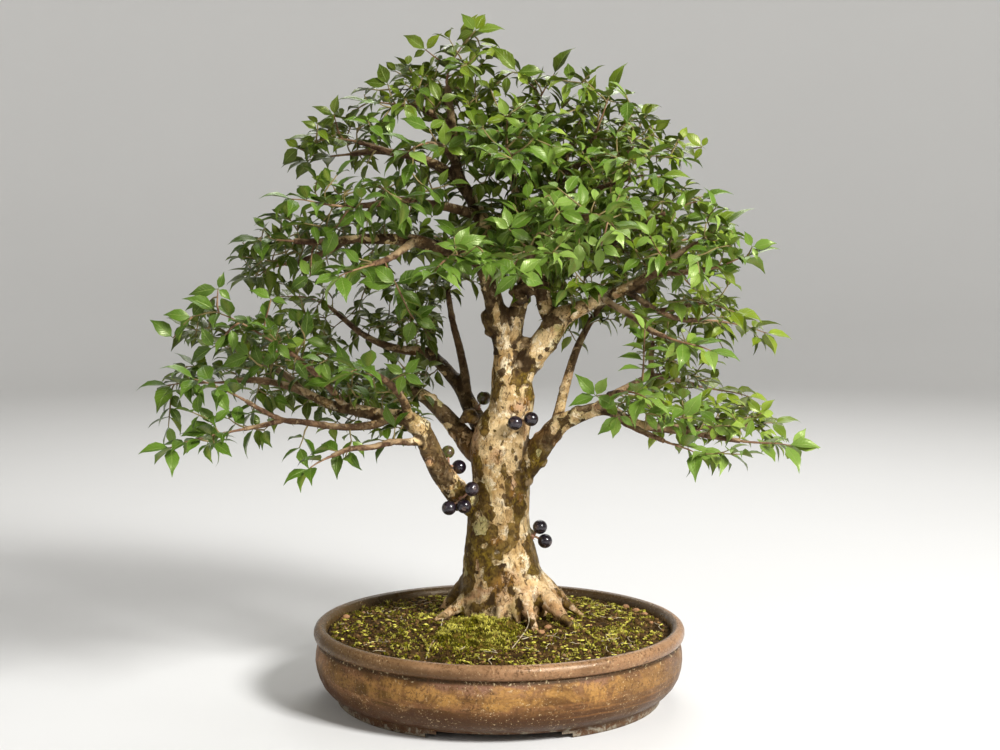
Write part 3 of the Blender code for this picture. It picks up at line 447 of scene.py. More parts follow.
# How far the look of one limb blends into the next, and how many points are worked out at once
BLEND_REACH = 0.0035
BLEND_CHUNK = 3000

# How dark each limb's bark is, from peeled cream to brown
BARK_SHADES = {
    "trunk": 0.37, "leader_left": 0.46, "leader_middle": 0.44, "fork_right": 0.33, "leader_right": 0.48,
    "right_low": 0.52, "right_low_stem": 0.66, "right_back": 0.62, "left_low": 0.58, "left_middle": 0.80,
    "left_back": 0.84, "left_back_stem": 0.86, "left_upper": 0.62, "left_low_front": 0.6,
}
OTHER_BARK_SHADE = 0.62

# What the bark is like in each kind of patch: how much old bark is kept, how green, how warm, how dark
PATCH_KINDS = {
    "olive": (0.95, 1.0, 0.0, 0.0), "brown": (0.95, 0.1, 0.0, 0.0), "dark": (0.80, 0.3, 0.0, 0.75),
    "cream": (0.08, 0.0, 0.0, 0.0), "mossy": (0.08, 1.0, 0.0, 0.0), "pink": (0.12, 0.0, 0.75, 0.0),
    "ochre": (0.46, 0.3, 1.0, 0.1),
}

# Patches on the side that faces the camera, as (column, row, half width, half height)
BARK_PATCHES = {
    "olive": (
        (487, 322, 9, 11), (518, 312, 10, 5), (524, 378, 12, 7), (531, 392, 6, 10), (518, 390, 2.5, 5),
        (486, 418, 4, 9), (536, 456, 9, 18), (521, 484, 6, 10), (519, 510, 6, 15), (473, 512, 9, 8),
        (488, 515, 4, 5), (478, 546, 15, 24), (468, 562, 9, 28), (489, 572, 4.5, 14), (533, 571, 6, 6),
        (561, 424, 4, 9), (587, 409, 7, 3), (519, 290, 9, 7), (477, 460, 4, 10), (533, 480, 5, 8),
    ),
    "brown": (
        (503, 308, 5, 15), (541, 291, 6, 15), (553, 322, 9, 8), (640, 289, 9, 7), (539, 378, 5, 11),
        (443, 616, 5, 3), (530, 622, 4, 4), (520, 614, 3, 7), (539, 600, 2.6, 5), (571, 602, 2.2, 5),
        (480, 607, 9, 4), (462, 574, 4, 8), (524, 335, 3, 6), (497, 332, 2, 5), (514, 372, 2.4, 3),
        (503, 443, 1.8, 3), (512, 452, 2, 3), (495, 431, 2, 2.6), (508, 425, 1.6, 2.6), (520, 446, 2, 3),
        (496, 396, 2.6, 7), (526, 338, 5, 8), (485, 431, 5, 4), (504, 471, 2.5, 8), (508, 486, 3.5, 8),
        (509, 499, 4.5, 8), (518, 478, 4.5, 8), (525, 466, 3.5, 8), (480, 487, 5, 6), (484, 501, 6, 15),
        (480, 474, 3.5, 6), (491, 513, 4.5, 8), (512, 533, 7, 12), (503, 546, 11, 8), (494, 532, 5, 8),
        (528, 546, 5, 10), (533, 558, 3.5, 9), (466, 582, 9, 10), (452, 592, 7, 14), (524, 609, 5, 6),
        (441, 474, 12, 19), (452, 412, 18, 17), (461, 384, 14, 26), (548, 441, 8, 9), (490, 297, 4, 16),
        (578, 375, 6, 30), (415, 446, 4, 4), (440, 356, 16, 14), (470, 416, 8, 7), (566, 618, 5, 4),
    ),
    # The dark patches between the roots and under the trunk's knee are painted shade, and so is the brown
    # patch at (480, 607); the others are dark bark
    "dark": (
        (524, 361, 8, 13), (511, 590, 4.5, 6), (493, 599, 4.5, 7), (502, 373, 3.6, 4.6), (501, 384, 3, 3),
        (514, 347, 4, 3), (547, 349, 4, 3), (497, 352, 3, 3.5), (516, 458, 2.5, 4), (566, 622, 6, 3),
        (502, 566, 6, 3.5), (493, 342, 3, 7), (526, 366, 6, 9), (541, 356, 2.5, 3), (534, 361, 3, 3),
        (519, 604, 3, 6), (541, 607, 2.5, 7), (521, 302, 7, 2.5), (526, 471, 2.5, 4), (509, 356, 2.5, 3),
        (490, 602, 5, 4), (477, 573, 2, 1.6), (483, 587, 4, 1.6), (512, 592, 3, 4), (540, 596, 2, 2),
        (499, 457, 1.6, 2.4), (506, 436, 1.6, 2), (517, 433, 1.6, 2.2), (504, 466, 1.6, 2),
        (491, 449, 1.6, 2.4),
    ),
    "cream": (
        (508, 344, 12, 24), (513, 331, 8, 8), (507, 364, 9, 16), (513, 394, 11, 9), (500, 415, 12, 17),
        (497, 445, 15, 27), (516, 442, 11, 23), (500, 500, 9, 33), (508, 517, 8, 12), (497, 526, 6, 8),
        (504, 534, 4, 7), (523, 528, 4, 10), (516, 561, 13, 13), (523, 556, 3.5, 8), (521, 577, 6, 11),
        (531, 591, 14, 10), (541, 350, 11, 17), (550, 335, 8, 8), (545, 366, 6, 8), (578, 307, 13, 4.5),
        (497, 317, 3, 13), (531, 378, 4.5, 5), (526, 386, 4, 2.5), (418, 433, 10, 16), (410, 415, 8, 5),
        (421, 446, 7, 5), (424, 396, 6, 5), (445, 426, 7, 4.5), (441, 487, 5, 3.5), (452, 496, 3.5, 3.5),
        (383, 412, 9, 4), (562, 413, 4.5, 5), (556, 427, 4, 8), (567, 431, 5.5, 5.5), (576, 417, 7, 7),
        (591, 414, 9, 6), (528, 462, 2, 9), (484, 546, 4.5, 3.5), (497, 553, 3, 2.5), (497, 563, 5, 3.5),
        (479, 513, 3.5, 3), (463, 560, 2, 18), (528, 506, 2, 18), (560, 408, 4, 3.5), (541, 302, 5, 2.2),
        (546, 312, 7, 2.6), (519, 304, 9, 2.6), (443, 374, 4, 2.6), (434, 352, 5, 3), (400, 348, 16, 3),
        # The cream strips along the top of the long low left limb, here and at (383, 412), are partly peeled
        # bark and partly painted light on its lit top
        (362, 406, 11, 3), (338, 402, 11, 2.8), (311, 392, 9, 2.6), (374, 338, 10, 2.4), (551, 604, 10, 9),
        (482, 578, 7, 10), (520, 596, 5, 7), (461, 603, 4, 3.2), (547, 597, 7, 5), (554, 606, 4, 4),
        (504, 612, 4, 5), (600, 301, 12, 5), (527, 604, 5, 4), (573, 608, 4, 2.6), (372, 238, 8, 3),
        (392, 243, 7, 3), (409, 247, 5, 3), (352, 237, 6, 2.6), (484, 214, 4, 10), (477, 195, 3, 6),
        (467, 176, 2.4, 5), (335, 236, 5, 2.4), (424, 251, 5, 2.6),
    ),
    "mossy": (
        (483, 524, 6.5, 7.5), (475, 528, 3, 6), (480, 533, 5, 2.6), (474, 500, 4, 6), (538, 452, 3, 4),
        (557, 327, 4.5, 3.5), (441, 402, 2.6, 6), (583, 342, 3, 3.4), (466, 570, 2.6, 8),
    ),
    "pink": (
        (475, 434, 4.5, 9), (484, 587, 9, 10), (478, 566, 2.6, 8), (473, 597, 7, 5), (525, 613, 3.5, 6),
        (560, 613, 4, 4), (598, 407, 5, 4), (395, 440, 8, 4), (519, 407, 4, 6), (584, 612, 5, 4),
        (513, 484, 2.6, 6), (429, 461, 4.5, 5), (577, 348, 4, 2), (573, 376, 3, 4), (618, 296, 5, 3),
    ),
    "ochre": (
        (508, 579, 9, 9), (474, 450, 5, 8), (496, 457, 6, 7), (512, 408, 5, 5), (525, 402, 6, 6),
        (452, 436, 5, 4), (456, 444, 4, 4), (555, 443, 3.5, 3.5), (513, 493, 3, 4), (520, 498, 3, 6),
        (468, 424, 3, 5), (455, 501, 4, 3), (453, 471, 4.5, 2.6), (496, 541, 6, 4), (498, 590, 3, 10),
        (467, 601, 3, 4), (454, 609, 5, 3), (507, 597, 7, 8), (500, 603, 5, 5), (513, 580, 8, 6),
        (525, 590, 5, 4), (455, 580, 3, 5),
    ),
}
PATCH_WANDER = 2.6

# Thin pale roots over the ground: pixels with a depth where they cross the wood, and without it on the soil
FINE_ROOTS = (
    ((527, 611, -60), (529, 620, -67), (527, 629), (521, 638), (512, 649)),
    ((443, 620), (439, 634), (431, 646), (426, 660)),
    ((461, 650), (470, 644), (480, 642), (489, 648), (496, 652)),
    ((522, 640), (530, 639), (537, 638)),
)

# Green stems that creep over the soil with small leaves, in pixels
CREEPING_STEMS = (
    ((573, 622), (583, 630), (592, 637), (600, 641)),
    ((606, 641), (614, 636), (622, 628), (630, 622)),
    ((423, 640), (427, 648), (429, 658)),
    ((440, 632), (452, 640), (462, 646)),
)

# Berries on short spurs: each bunch's berries as (column, row, depth), and their radius in millimetres
BERRIES = {
    "berries_trunk_front": ((515, 423, -40), (531, 419, -32)),
    "berries_trunk_side": ((540, 527, -6), (545, 541, -8)),
    "berries_left_limb": ((472, 489, -36), (464, 506, -30), (449, 508, -28)),
    "berries_crotch": ((459, 467, -4), (448, 452, 2)),
    "berries_back": ((484, 398, 40),),
}
BERRY_RADIUS = 7.8
BERRY_CLEARANCE = 0.9
BERRY_TRIES = 40
SPUR_LENGTH = 0.004
SPUR_SCALES = 5

# How unripe the berries of some bunches are, from 0 to 1, and the size of one that is wholly unripe
UNRIPE = {"berries_crotch": (0.0, 1.0), "berries_back": (0.75,)}
UNRIPE_SIZE = 0.92

# Leaves and twigs as the solids have them, which the scene's own leaves start from
GAP = 0.0004
LEAF_LENGTH = 0.035
LEAF_WIDTH = 0.0165
LEAF_SIZES = (0.86, 1.1)
LEAF_SAG = 0.16
LEAF_SPREAD = (48, 74)
LEAF_TILT = 0.35
LEAF_DROOP = (0.05, 0.45)
LEAF_PAIR_SPACING = 0.0135
LEAF_PAIR_TURN = 0.75
TWIG_BARE_START = 0.012
TWIG_BARE_END = 0.003
TWIG_END_LEAF = 0.95
TWIG_STRAIGHT = 0.004
TWIG_ARCH = 0.05
TWIG_BEND = (0.3, 0.25)
TWIG_STEPS = (0.4, 0.72, 1)
SPRAY_TWIG_RADIUS = 0.0014

# Twigs: their radius at the tip, the one under which they are green, their nodes and their sides
TWIG_TIP_RADIUS = 0.00055
GREEN_TWIG_RADIUS = 0.0011
TWIG_NODE_SWELL = 1.16
TWIG_SIDES = 5

# A leaf's outline from its stalk to its drawn-out tip: share of the length, and share of the half width
LEAF_STATIONS = np.array([0.0, 0.09, 0.22, 0.42, 0.64, 0.85, 1.0])
LEAF_HALVES = np.array([0.045, 0.06, 0.64, 1.0, 0.80, 0.25, 0.0])
LARGE_LEAF_COLUMNS = (-1.0, -0.52, 0.0, 0.52, 1.0)
SMALL_LEAF_COLUMNS = (-1.0, 0.0, 1.0)
SMALL_LEAF = 0.028
LEAF_EDGE_ANGLE = 100

# The crown's outline as the camera sees it, clockwise from its top, and the gaps that one looks through
CROWN_OUTLINE = (
    (473, 10), (506, 24), (512, 48), (540, 56), (556, 46), (574, 46), (580, 62), (600, 70), (616, 60),
    (626, 76), (656, 82), (656, 98), (676, 118), (709, 144), (704, 164), (694, 176), (714, 182), (731, 189),
    (754, 209), (752, 228), (779, 246), (764, 262), (748, 274), (742, 290), (750, 304), (766, 320),
    (796, 338), (782, 351), (742, 358), (732, 378), (754, 390), (776, 402), (804, 417), (824, 444),
    (816, 458), (788, 466), (757, 458), (726, 470), (708, 468), (696, 454), (664, 444), (606, 440),
    (586, 400), (566, 340), (536, 300), (488, 300), (444, 330), (424, 400), (412, 446), (350, 462),
    (318, 470), (284, 488), (258, 468), (214, 456), (172, 462), (134, 460), (146, 430), (130, 392),
    (150, 376), (164, 362), (152, 322), (186, 292), (224, 284), (222, 242), (246, 226), (258, 194),
    (274, 180), (276, 164), (284, 138), (312, 106), (338, 98), (376, 66), (390, 52), (404, 34), (424, 44),
    (450, 22),
)
CROWN_GAPS = (
    ((438, 292), (488, 292), (494, 330), (488, 402), (462, 380), (436, 340)),
    ((530, 332), (572, 330), (560, 398), (534, 404)),
    ((578, 348), (640, 352), (634, 396), (582, 398)),
    ((566, 410), (606, 418), (600, 446), (560, 440)),
    ((592, 324), (630, 322), (640, 334), (620, 352), (590, 356)),
    ((652, 282), (688, 277), (684, 296), (658, 302)),
    ((372, 114), (420, 112), (424, 142), (380, 146)),
    ((408, 206), (448, 204), (452, 232), (418, 236)),
    ((378, 252), (444, 254), (440, 270), (380, 270)),
    ((168, 392), (240, 390), (262, 398), (300, 404), (296, 416), (262, 410), (236, 412), (200, 402)),
    ((240, 432), (330, 434), (330, 444), (282, 448), (256, 440)),
    ((410, 446), (380, 452), (384, 464), (420, 462)),
)

# The crown's depth: as a share of its half width, and the least in metres where it is narrow
CROWN_DEPTH_SHARE = 0.72
CROWN_DEPTH_LEAST = 0.045

# The pixels among which the crown's sides are looked for, across and down, and in what steps
CROWN_SPAN = (840, 500)
CROWN_STEP = 4

# The crown's middle and half size, which the tones of its leaves follow
CROWN_MIDDLE = np.array([0.0, 0.0, 0.42])
CROWN_HALF_SIZE = np.array([0.33, 0.25, 0.30])

# Limbs that show through the leaves, as the shares of their routes between which nothing grows in front
SHOWN_LIMBS = {
    "leader_left": (0.45, 1), "leader_middle": (0.1, 0.5), "fork_right": (0.2, 0.92), "right_low": (0.3, 1),
    "right_low_stem": (0, 0.9), "right_back_stem": (0, 1), "right_spreading": (0.2, 1),
    "left_low": (0.4, 1), "left_low_fork": (0, 1), "left_low_fork_down": (0, 1), "left_low_front": (0.2, 1),
    "left_back": (0.3, 0.95), "left_upper": (0.12, 1), "left_high": (0.2, 1),
}
SHOWN_LIMB_ROOM = 11

# Side shoots, which fill the crown between the tips: how many, how near to each other and to the wood, and
# how far from a limb to the side and up their tips are tried
SHOOTS = 2110
SHOOT_ROOM = 0.0072
SHOOT_REACH = (0.014, 0.078)
SHOOT_TRIES = 150000
SHOOT_AWAY = (0.010, 0.058)
SHOOT_LIFT = (-0.010, 0.028)
BARE_LIMB = 0.30
LEAF_REACH = 0.026

# A side shoot's pairs of leaves, each kind by its spread in degrees, its droop and its size
YOUNG_PAIR = ((26, 48), (-0.15, 0.25), (0.62, 0.88))
GROWN_PAIR = ((48, 80), (0.05, 0.55), (0.72, 1.0))
SHOOT_PAIR_SPACING = (0.009, 0.0135)
SHOOT_PAIR_TURN = 0.95
SHOOT_BARE_START = 0.007
SHOOT_BARE_END = 0.0005
LEAF_KEPT = 0.94

# The large leaves that face the front: the pixel and depth of the twig's end, then each leaf's tip
SHOWN_LEAVES = (
    ((456, 250, -166), ((469, 226), (487, 235), (436, 243))),
    ((457, 260, -174), ((421, 277), (459, 286), (475, 280), (489, 262))),
    ((518, 275, -230), ((490, 298), (548, 288), (493, 258), (543, 258))),
    ((509, 229, -140), ((505, 207), (539, 214), (492, 220), (534, 246))),
    ((559, 212, -120), ((544, 188), (549, 229), (590, 224), (561, 240), (581, 192))),
    ((545, 158, -70), ((538, 139), (563, 180), (574, 150), (528, 168))),
    ((507, 117, -46), ((486, 124), (543, 110), (500, 98), (528, 134))),
    ((446, 147, -72), ((430, 161), (467, 158), (442, 124), (470, 140))),
    ((432, 217, -70), ((419, 198), (446, 203), (420, 231))),
    ((384, 224, -72), ((386, 188), (365, 233), (404, 232))),
    ((336, 228, -98), ((325, 264), (360, 210), (315, 240))),
    ((360, 264, -132), ((343, 250), (345, 294), (378, 280))),
    ((396, 284, -140), ((357, 282), (371, 267), (428, 272), (402, 304))),
    ((414, 319, -112), ((397, 285), (404, 350), (436, 306), (440, 330))),
    ((310, 276, -104), ((297, 261), (288, 294), (324, 262))),
    ((305, 339, -104), ((310, 310), (284, 350), (330, 350))),
    ((214, 424, -134), ((211, 455), (199, 407), (180, 441), (230, 410))),
    ((618, 416, -98), ((597, 438), (611, 442), (603, 403), (636, 428))),
    ((596, 396, -100), ((567, 407), (575, 377), (620, 413), (606, 378))),
    ((646, 414, -104), ((660, 436), (672, 408), (630, 404))),
    ((712, 427, -70), ((714, 446), (735, 437), (700, 412))),
    ((601, 246, -172), ((599, 277), (618, 234), (582, 238), (622, 258))),
    ((650, 236, -96), ((634, 250), (668, 248), (655, 216), (636, 222))),
    ((404, 374, -118), ((421, 362), (385, 366), (424, 388), (396, 398))),
    ((475, 31, -8), ((506, 31), (463, 14), (486, 14), (453, 42))),
    ((517, 72, -22), ((546, 73), (491, 46), (530, 88))),
    ((426, 50, 8), ((403, 37), (440, 36), (412, 62))),
    ((388, 85, -6), ((361, 83), (378, 65), (404, 96))),
    ((334, 115, 8), ((312, 109), (336, 97), (322, 130))),
    ((440, 102, -40), ((428, 79), (458, 96))),
    ((429, 129, -60), ((401, 118), (446, 120))),
    ((299, 148, 30), ((284, 139), (279, 166), (316, 140))),
    ((192, 317, -134), ((163, 316), (206, 300), (176, 330))),
    ((173, 338, -128), ((152, 320), (190, 326))),
    ((214, 347, -122), ((183, 366), (199, 331), (238, 337))),
    ((218, 289, -118), ((187, 294), (232, 303), (226, 276))),
    ((262, 366, -112), ((241, 381), (250, 346), (280, 352))),
    ((249, 356, -116), ((219, 369), (232, 342))),
    ((350, 372, -126), ((335, 345), (336, 385), (368, 362))),
    ((332, 382, -110), ((303, 388), (318, 372))),
    ((271, 299, -112), ((250, 289), (262, 318), (288, 306))),
    ((697, 291, -56), ((694, 274), (713, 300))),
    ((722, 270, -84), ((738, 289), (706, 260), (740, 268))),
    ((700, 349, -66), ((713, 371), (686, 354))),
    ((632, 311, -60), ((629, 333), (649, 320))),
    ((761, 413, -24), ((773, 400), (747, 402), (776, 418))),
    ((792, 446, -72), ((787, 466), (822, 446), (808, 430))),
    ((702, 147, 40), ((709, 138), (694, 164), (684, 134))),
    ((752, 247, -112), ((777, 246), (760, 262), (744, 234))),
)
SHOWN_ROOM = 17
SHOWN_BEHIND = 12


def sight(column, row, depth):
    """The place seen at a pixel, a number of millimetres behind the trunk's axis."""
    across = (column - VIEW_MIDDLE_COLUMN) / VIEW_FOCAL_PIXELS
    above = (VIEW_MIDDLE_ROW - row) / VIEW_FOCAL_PIXELS
    forward = math.cos(VIEW_DIP) + above * math.sin(VIEW_DIP)
    rise = above * math.cos(VIEW_DIP) - math.sin(VIEW_DIP)
    run = (VIEW_DISTANCE + depth * MM) / forward
    return np.array([VIEW_SIDE + run * across, depth * MM, VIEW_HEIGHT + run * rise])


def pixel_of(place):
    """The column and row that a place is seen at."""
    x, y, z = place[0] - VIEW_SIDE, place[1] + VIEW_DISTANCE, place[2] - VIEW_HEIGHT
    ahead = y * math.cos(VIEW_DIP) - z * math.sin(VIEW_DIP)
    above = y * math.sin(VIEW_DIP) + z * math.cos(VIEW_DIP)
    column = VIEW_MIDDLE_COLUMN + VIEW_FOCAL_PIXELS * x / ahead
    return column, VIEW_MIDDLE_ROW - VIEW_FOCAL_PIXELS * above / ahead


def unit(vector):
    return vector / max(np.linalg.norm(vector), 1e-12)


def units(rows):
    """The rows of an array, each made one long."""
    return rows / np.maximum(np.linalg.norm(rows, axis=1, keepdims=True), 1e-9)


def inside(outline, column, row):
    """Whether a pixel lies inside an outline."""
    within = False
    for (x1, y1), (x2, y2) in zip(outline, outline[1:] + outline[:1]):
        if (y1 > row) != (y2 > row) and column < (x2 - x1) * (row - y1) / (y2 - y1) + x1:
            within = not within
    return within


def ragged(places, draw, reach):
    """Places, each moved by a random share of a reach along each axis."""
    return places + np.array([[draw.uniform(-1, 1) for _ in range(3)] for _ in places]) * reach


class Heap:
    """Triangles gathered for one piece, with a material and named values for each point."""

    def __init__(self):
        self.places = []
        self.corners = []
        self.finish = []
        self.values = {}
        self.count = 0

    def add(self, places, corners, finish=0, **values):
        places = np.asarray(places, float).reshape(-1, 3)
        corners = np.asarray(corners, int).reshape(-1, 3)
        self.places.append(places)
        self.corners.append(corners + self.count)
        self.finish.append(np.full(len(corners), finish, int))
        for name, value in values.items():
            chunk = np.broadcast_to(np.asarray(value, float), (len(places),))
            self.values.setdefault(name, []).append((self.count, chunk))
        self.count += len(places)

    def piece(self, name, materials, smooth=True):
        places = np.concatenate(self.places)
        corners = np.concatenate(self.corners)
        mesh = bpy.data.meshes.new(name)
        mesh.vertices.add(len(places))
        mesh.vertices.foreach_set("co", places.astype(np.float32).ravel())
        mesh.loops.add(len(corners) * 3)
        mesh.loops.foreach_set("vertex_index", corners.astype(np.int32).ravel())
        mesh.polygons.add(len(corners))
        mesh.polygons.foreach_set("loop_start", np.arange(0, len(corners) * 3, 3, dtype=np.int32))
        mesh.polygons.foreach_set("material_index", np.concatenate(self.finish).astype(np.int32))
        mesh.polygons.foreach_set("use_smooth", np.full(len(corners), smooth))
        mesh.update(calc_edges=True)
        for key, chunks in self.values.items():
            whole = np.zeros(len(places), np.float32)
            for start, chunk in chunks:
                whole[start:start + len(chunk)] = chunk
            mesh.attributes.new(key, "FLOAT", "POINT").data.foreach_set("value", whole)
        for finish in materials:
            mesh.materials.append(finish)
        thing = bpy.data.objects.new(name, mesh)
        bpy.context.scene.collection.objects.link(thing)
        return thing


def smooth_route(points, radii, step):
    """Points and radii along a smooth curve through a route's points."""
    points = np.array(points, float)
    radii = np.array(radii, float)
    rows = np.column_stack([points, radii])
    rows = np.vstack([2 * rows[0] - rows[1], rows, 2 * rows[-1] - rows[-2]])
    made = []
    for a, b, c, d in zip(rows, rows[1:], rows[2:], rows[3:]):
        count = max(1, round(float(np.linalg.norm(c[:3] - b[:3])) / step))
        for share in np.arange(count) / count:
            curve = (
                2 * b
                + (c - a) * share
                + (2 * a - 5 * b + 4 * c - d) * share**2
                + (3 * b - 3 * c + d - a) * share**3
            )
            made.append(curve / 2)
    made.append(rows[-2])
    made = np.array(made)
    low, high = radii.min() * 0.9, radii.max()
    return made[:, :3], np.clip(made[:, 3], low, high)


def smooth_line(points, step):
    return smooth_route(points, np.ones(len(points)), step)[0]


def ring(radius, height, around, middle=0.0):
    """The points of a level ring round an upright axis."""
    turns = np.arange(around) * math.tau / around
    x, y = middle + radius * np.cos(turns), radius * np.sin(turns)
    return np.column_stack([x, y, np.full(around, height)])


def ring_faces(rings, around, start, first, last=None, flip=False):
    """Triangles between rings of points, which follow each other, and to a point at either end."""
    step = np.arange(around)
    after = (step + 1) % around
    end = start + (rings - 1) * around
    faces = [np.column_stack([np.full(around, first), start + after, start + step])]
    if last is not None:
        faces.append(np.column_stack([np.full(around, last), end + step, end + after]))
    for low in range(start, end, around):
        high = low + around
        faces.append(np.column_stack([low + step, low + after, high + after]))
        faces.append(np.column_stack([low + step, high + after, high + step]))
    faces = np.concatenate(faces)
    return faces[:, ::-1] if flip else faces


def tube(points, radii, sides):
    """A closed tube: rings square to its route, and a point at both ends."""
    points = np.asarray(points, float)
    steps = units(np.diff(points, axis=0))
    along = units(np.vstack([steps[:1], steps[:-1] + steps[1:], steps[-1:]]))
    normal = np.cross(along[0], [0.31, 0.52, 0.79])
    turns = np.arange(sides) * math.tau / sides
    rings = []
    for point, direction, radius in zip(points, along, radii):
        normal = unit(normal - direction * normal.dot(direction))
        across = np.cross(direction, normal)
        rings.append(point + (np.outer(np.cos(turns), normal) + np.outer(np.sin(turns), across)) * radius)
    start = points[0] - along[0] * radii[0] * TUBE_POINT
    end = points[-1] + along[-1] * radii[-1] * TUBE_POINT
    places = np.vstack(rings + [start, end])
    return places, ring_faces(len(points), sides, 0, len(places) - 2, len(places) - 1)


def ball(centre, half_sizes, around, rows):
    """A round body from rings between two poles."""
    tilts = [math.pi * row / rows for row in range(1, rows)]
    rings = [ring(math.sin(tilt), math.cos(tilt), around) for tilt in tilts]
    places = np.vstack([[[0, 0, 1]], *rings, [[0, 0, -1]]])
    faces = ring_faces(rows - 1, around, 1, 0, len(places) - 1, flip=True)
    return np.asarray(centre) + places * np.asarray(half_sizes), faces


def rough_ball(centre, size, draw):
    """A lumpy ball, a little flattened."""
    places, corners = ball((0, 0, 0), (1, 1, 0.85), 18, 12)
    shift = Vector((draw.uniform(0, 50), 0, 0))
    lumps = np.array([1 + 0.30 * noise.noise(Vector(place) * 1.8 + shift) for place in places])
    return centre + places * lumps[:, None] * size, corners


def box(low, high):
    heap = Heap()
    places = [(x, y, z) for x in (low[0], high[0]) for y in (low[1], high[1]) for z in (low[2], high[2])]
    quads = ((0, 1, 3, 2), (4, 6, 7, 5), (0, 4, 5, 1), (2, 3, 7, 6), (0, 2, 6, 4), (1, 5, 7, 3))
    heap.add(places, [corner for a, b, c, d in quads for corner in ((a, b, c), (a, c, d))])
    return heap.piece("cutter", [], smooth=False)


def surface(thing):
    """A searchable copy of a piece's faces."""
    mesh = thing.data
    faces = [face.vertices[:] for face in mesh.polygons]
    return bvhtree.BVHTree.FromPolygons([point.co for point in mesh.vertices], faces)


def evaluate(thing):
    """Gives an object the mesh that its modifiers make of it, and takes them off."""
    depsgraph = bpy.context.evaluated_depsgraph_get()
    mesh = bpy.data.meshes.new_from_object(thing.evaluated_get(depsgraph))
    thing.modifiers.clear()
    thing.data = mesh


def voxel_skin(thing, size):
    """One smooth skin round everything in an object."""
    remesh = thing.modifiers.new("skin", "REMESH")
    remesh.mode = "VOXEL"
    remesh.voxel_size = size
    smooth = thing.modifiers.new("smooth", "SMOOTH")
    smooth.factor = 0.5
    smooth.iterations = 3
    evaluate(thing)


def cut(body, cutter):
    difference = body.modifiers.new("cut", "BOOLEAN")
    difference.operation = "DIFFERENCE"
    difference.object = cutter
    evaluate(body)
    bpy.data.objects.remove(cutter, do_unlink=True)


class Finish:
    """One material's nodes, with short calls for those that it needs."""

    def __init__(self, name, roughness=0.6, coat=0.0, specular=0.5, tint=(1, 1, 1)):
        self.material = bpy.data.materials.new(name)
        self.material.use_nodes = True
        self.tree = self.material.node_tree
        self.shader = self.tree.nodes["Principled BSDF"]
        self.shader.inputs["Roughness"].default_value = roughness
        self.shader.inputs["Coat Weight"].default_value = coat
        self.shader.inputs["Specular IOR Level"].default_value = specular
        self.shader.inputs["Specular Tint"].default_value = (*tint, 1)
        self.place = self.node("ShaderNodeTexCoord").outputs["Object"]

    def node(self, kind, inputs=None, **settings):
        made = self.tree.nodes.new(kind)
        for key, value in settings.items():
            setattr(made, key, value)
        for key, value in (inputs or {}).items():
            self.feed(made.inputs[key], value)
        return made

    def feed(self, socket, value):
        if isinstance(value, bpy.types.NodeSocket):
            self.tree.links.new(value, socket)
        else:
            socket.default_value = value

    def axis(self, name):
        """How far along an axis a point lies."""
        return self.node("ShaderNodeSeparateXYZ", {0: self.place}).outputs[name]

    def stretched(self, height):
        """The place with its height scaled."""
        inputs = {"Vector": self.place, "Scale": (1, 1, height)}
        return self.node("ShaderNodeMapping", inputs).outputs["Vector"]

    def noise(self, scale, detail=3.0, roughness=0.55, distortion=0.0, place=None):
        inputs = {
            "Vector": place or self.place, "Scale": scale, "Detail": detail, "Roughness": roughness,
            "Distortion": distortion,
        }
        return self.node("ShaderNodeTexNoise", inputs).outputs["Fac"]

    def value(self, name):
        return self.node("ShaderNodeAttribute", attribute_name=name).outputs["Fac"]

    def vector(self, operation, *inputs):
        return self.node("ShaderNodeVectorMath", dict(enumerate(inputs)), operation=operation).outputs

    def math(self, operation, a, b=0.0):
        return self.node("ShaderNodeMath", {0: a, 1: b}, operation=operation).outputs[0]

    def times(self, a, b):
        return self.math("MULTIPLY", a, b)

    def plus(self, a, b):
        return self.math("ADD", a, b)

    def less(self, a, b):
        return self.math("SUBTRACT", a, b)

    def ranged(self, value, low, high, to_low=0.0, to_high=1.0):
        """A value taken smoothly from one range to another."""
        inputs = {"Value": value, "From Min": low, "From Max": high, "To Min": to_low, "To Max": to_high}
        return self.node("ShaderNodeMapRange", inputs, interpolation_type="SMOOTHSTEP").outputs["Result"]

    def band(self, value, rise, fall):
        """1 between the range that a value rises through and the one that it falls through, else 0."""
        return self.times(self.ranged(value, *rise), self.ranged(value, *fall))

    def mix(self, share, first, second):
        made = self.node("ShaderNodeMix", data_type="RGBA")
        self.feed(made.inputs["Factor"], share)
        for socket, colour in ((made.inputs[6], first), (made.inputs[7], second)):
            self.feed(socket, colour if isinstance(colour, bpy.types.NodeSocket) else (*colour, 1))
        return made.outputs[2]

    def laid(self, colour, over, share, most):
        """A colour with another laid over it by a share of a most."""
        return self.mix(self.times(share, most), colour, over)

    def bump(self, height, distance, strength=1.0):
        inputs = {"Height": height, "Distance": distance, "Strength": strength}
        return self.node("ShaderNodeBump", inputs).outputs["Normal"]

    def done(self, colour, normal=None, roughness=None):
        for name, value in (("Base Color", colour), ("Normal", normal), ("Roughness", roughness)):
            if value:
                self.feed(self.shader.inputs[name], value)
        return self.material


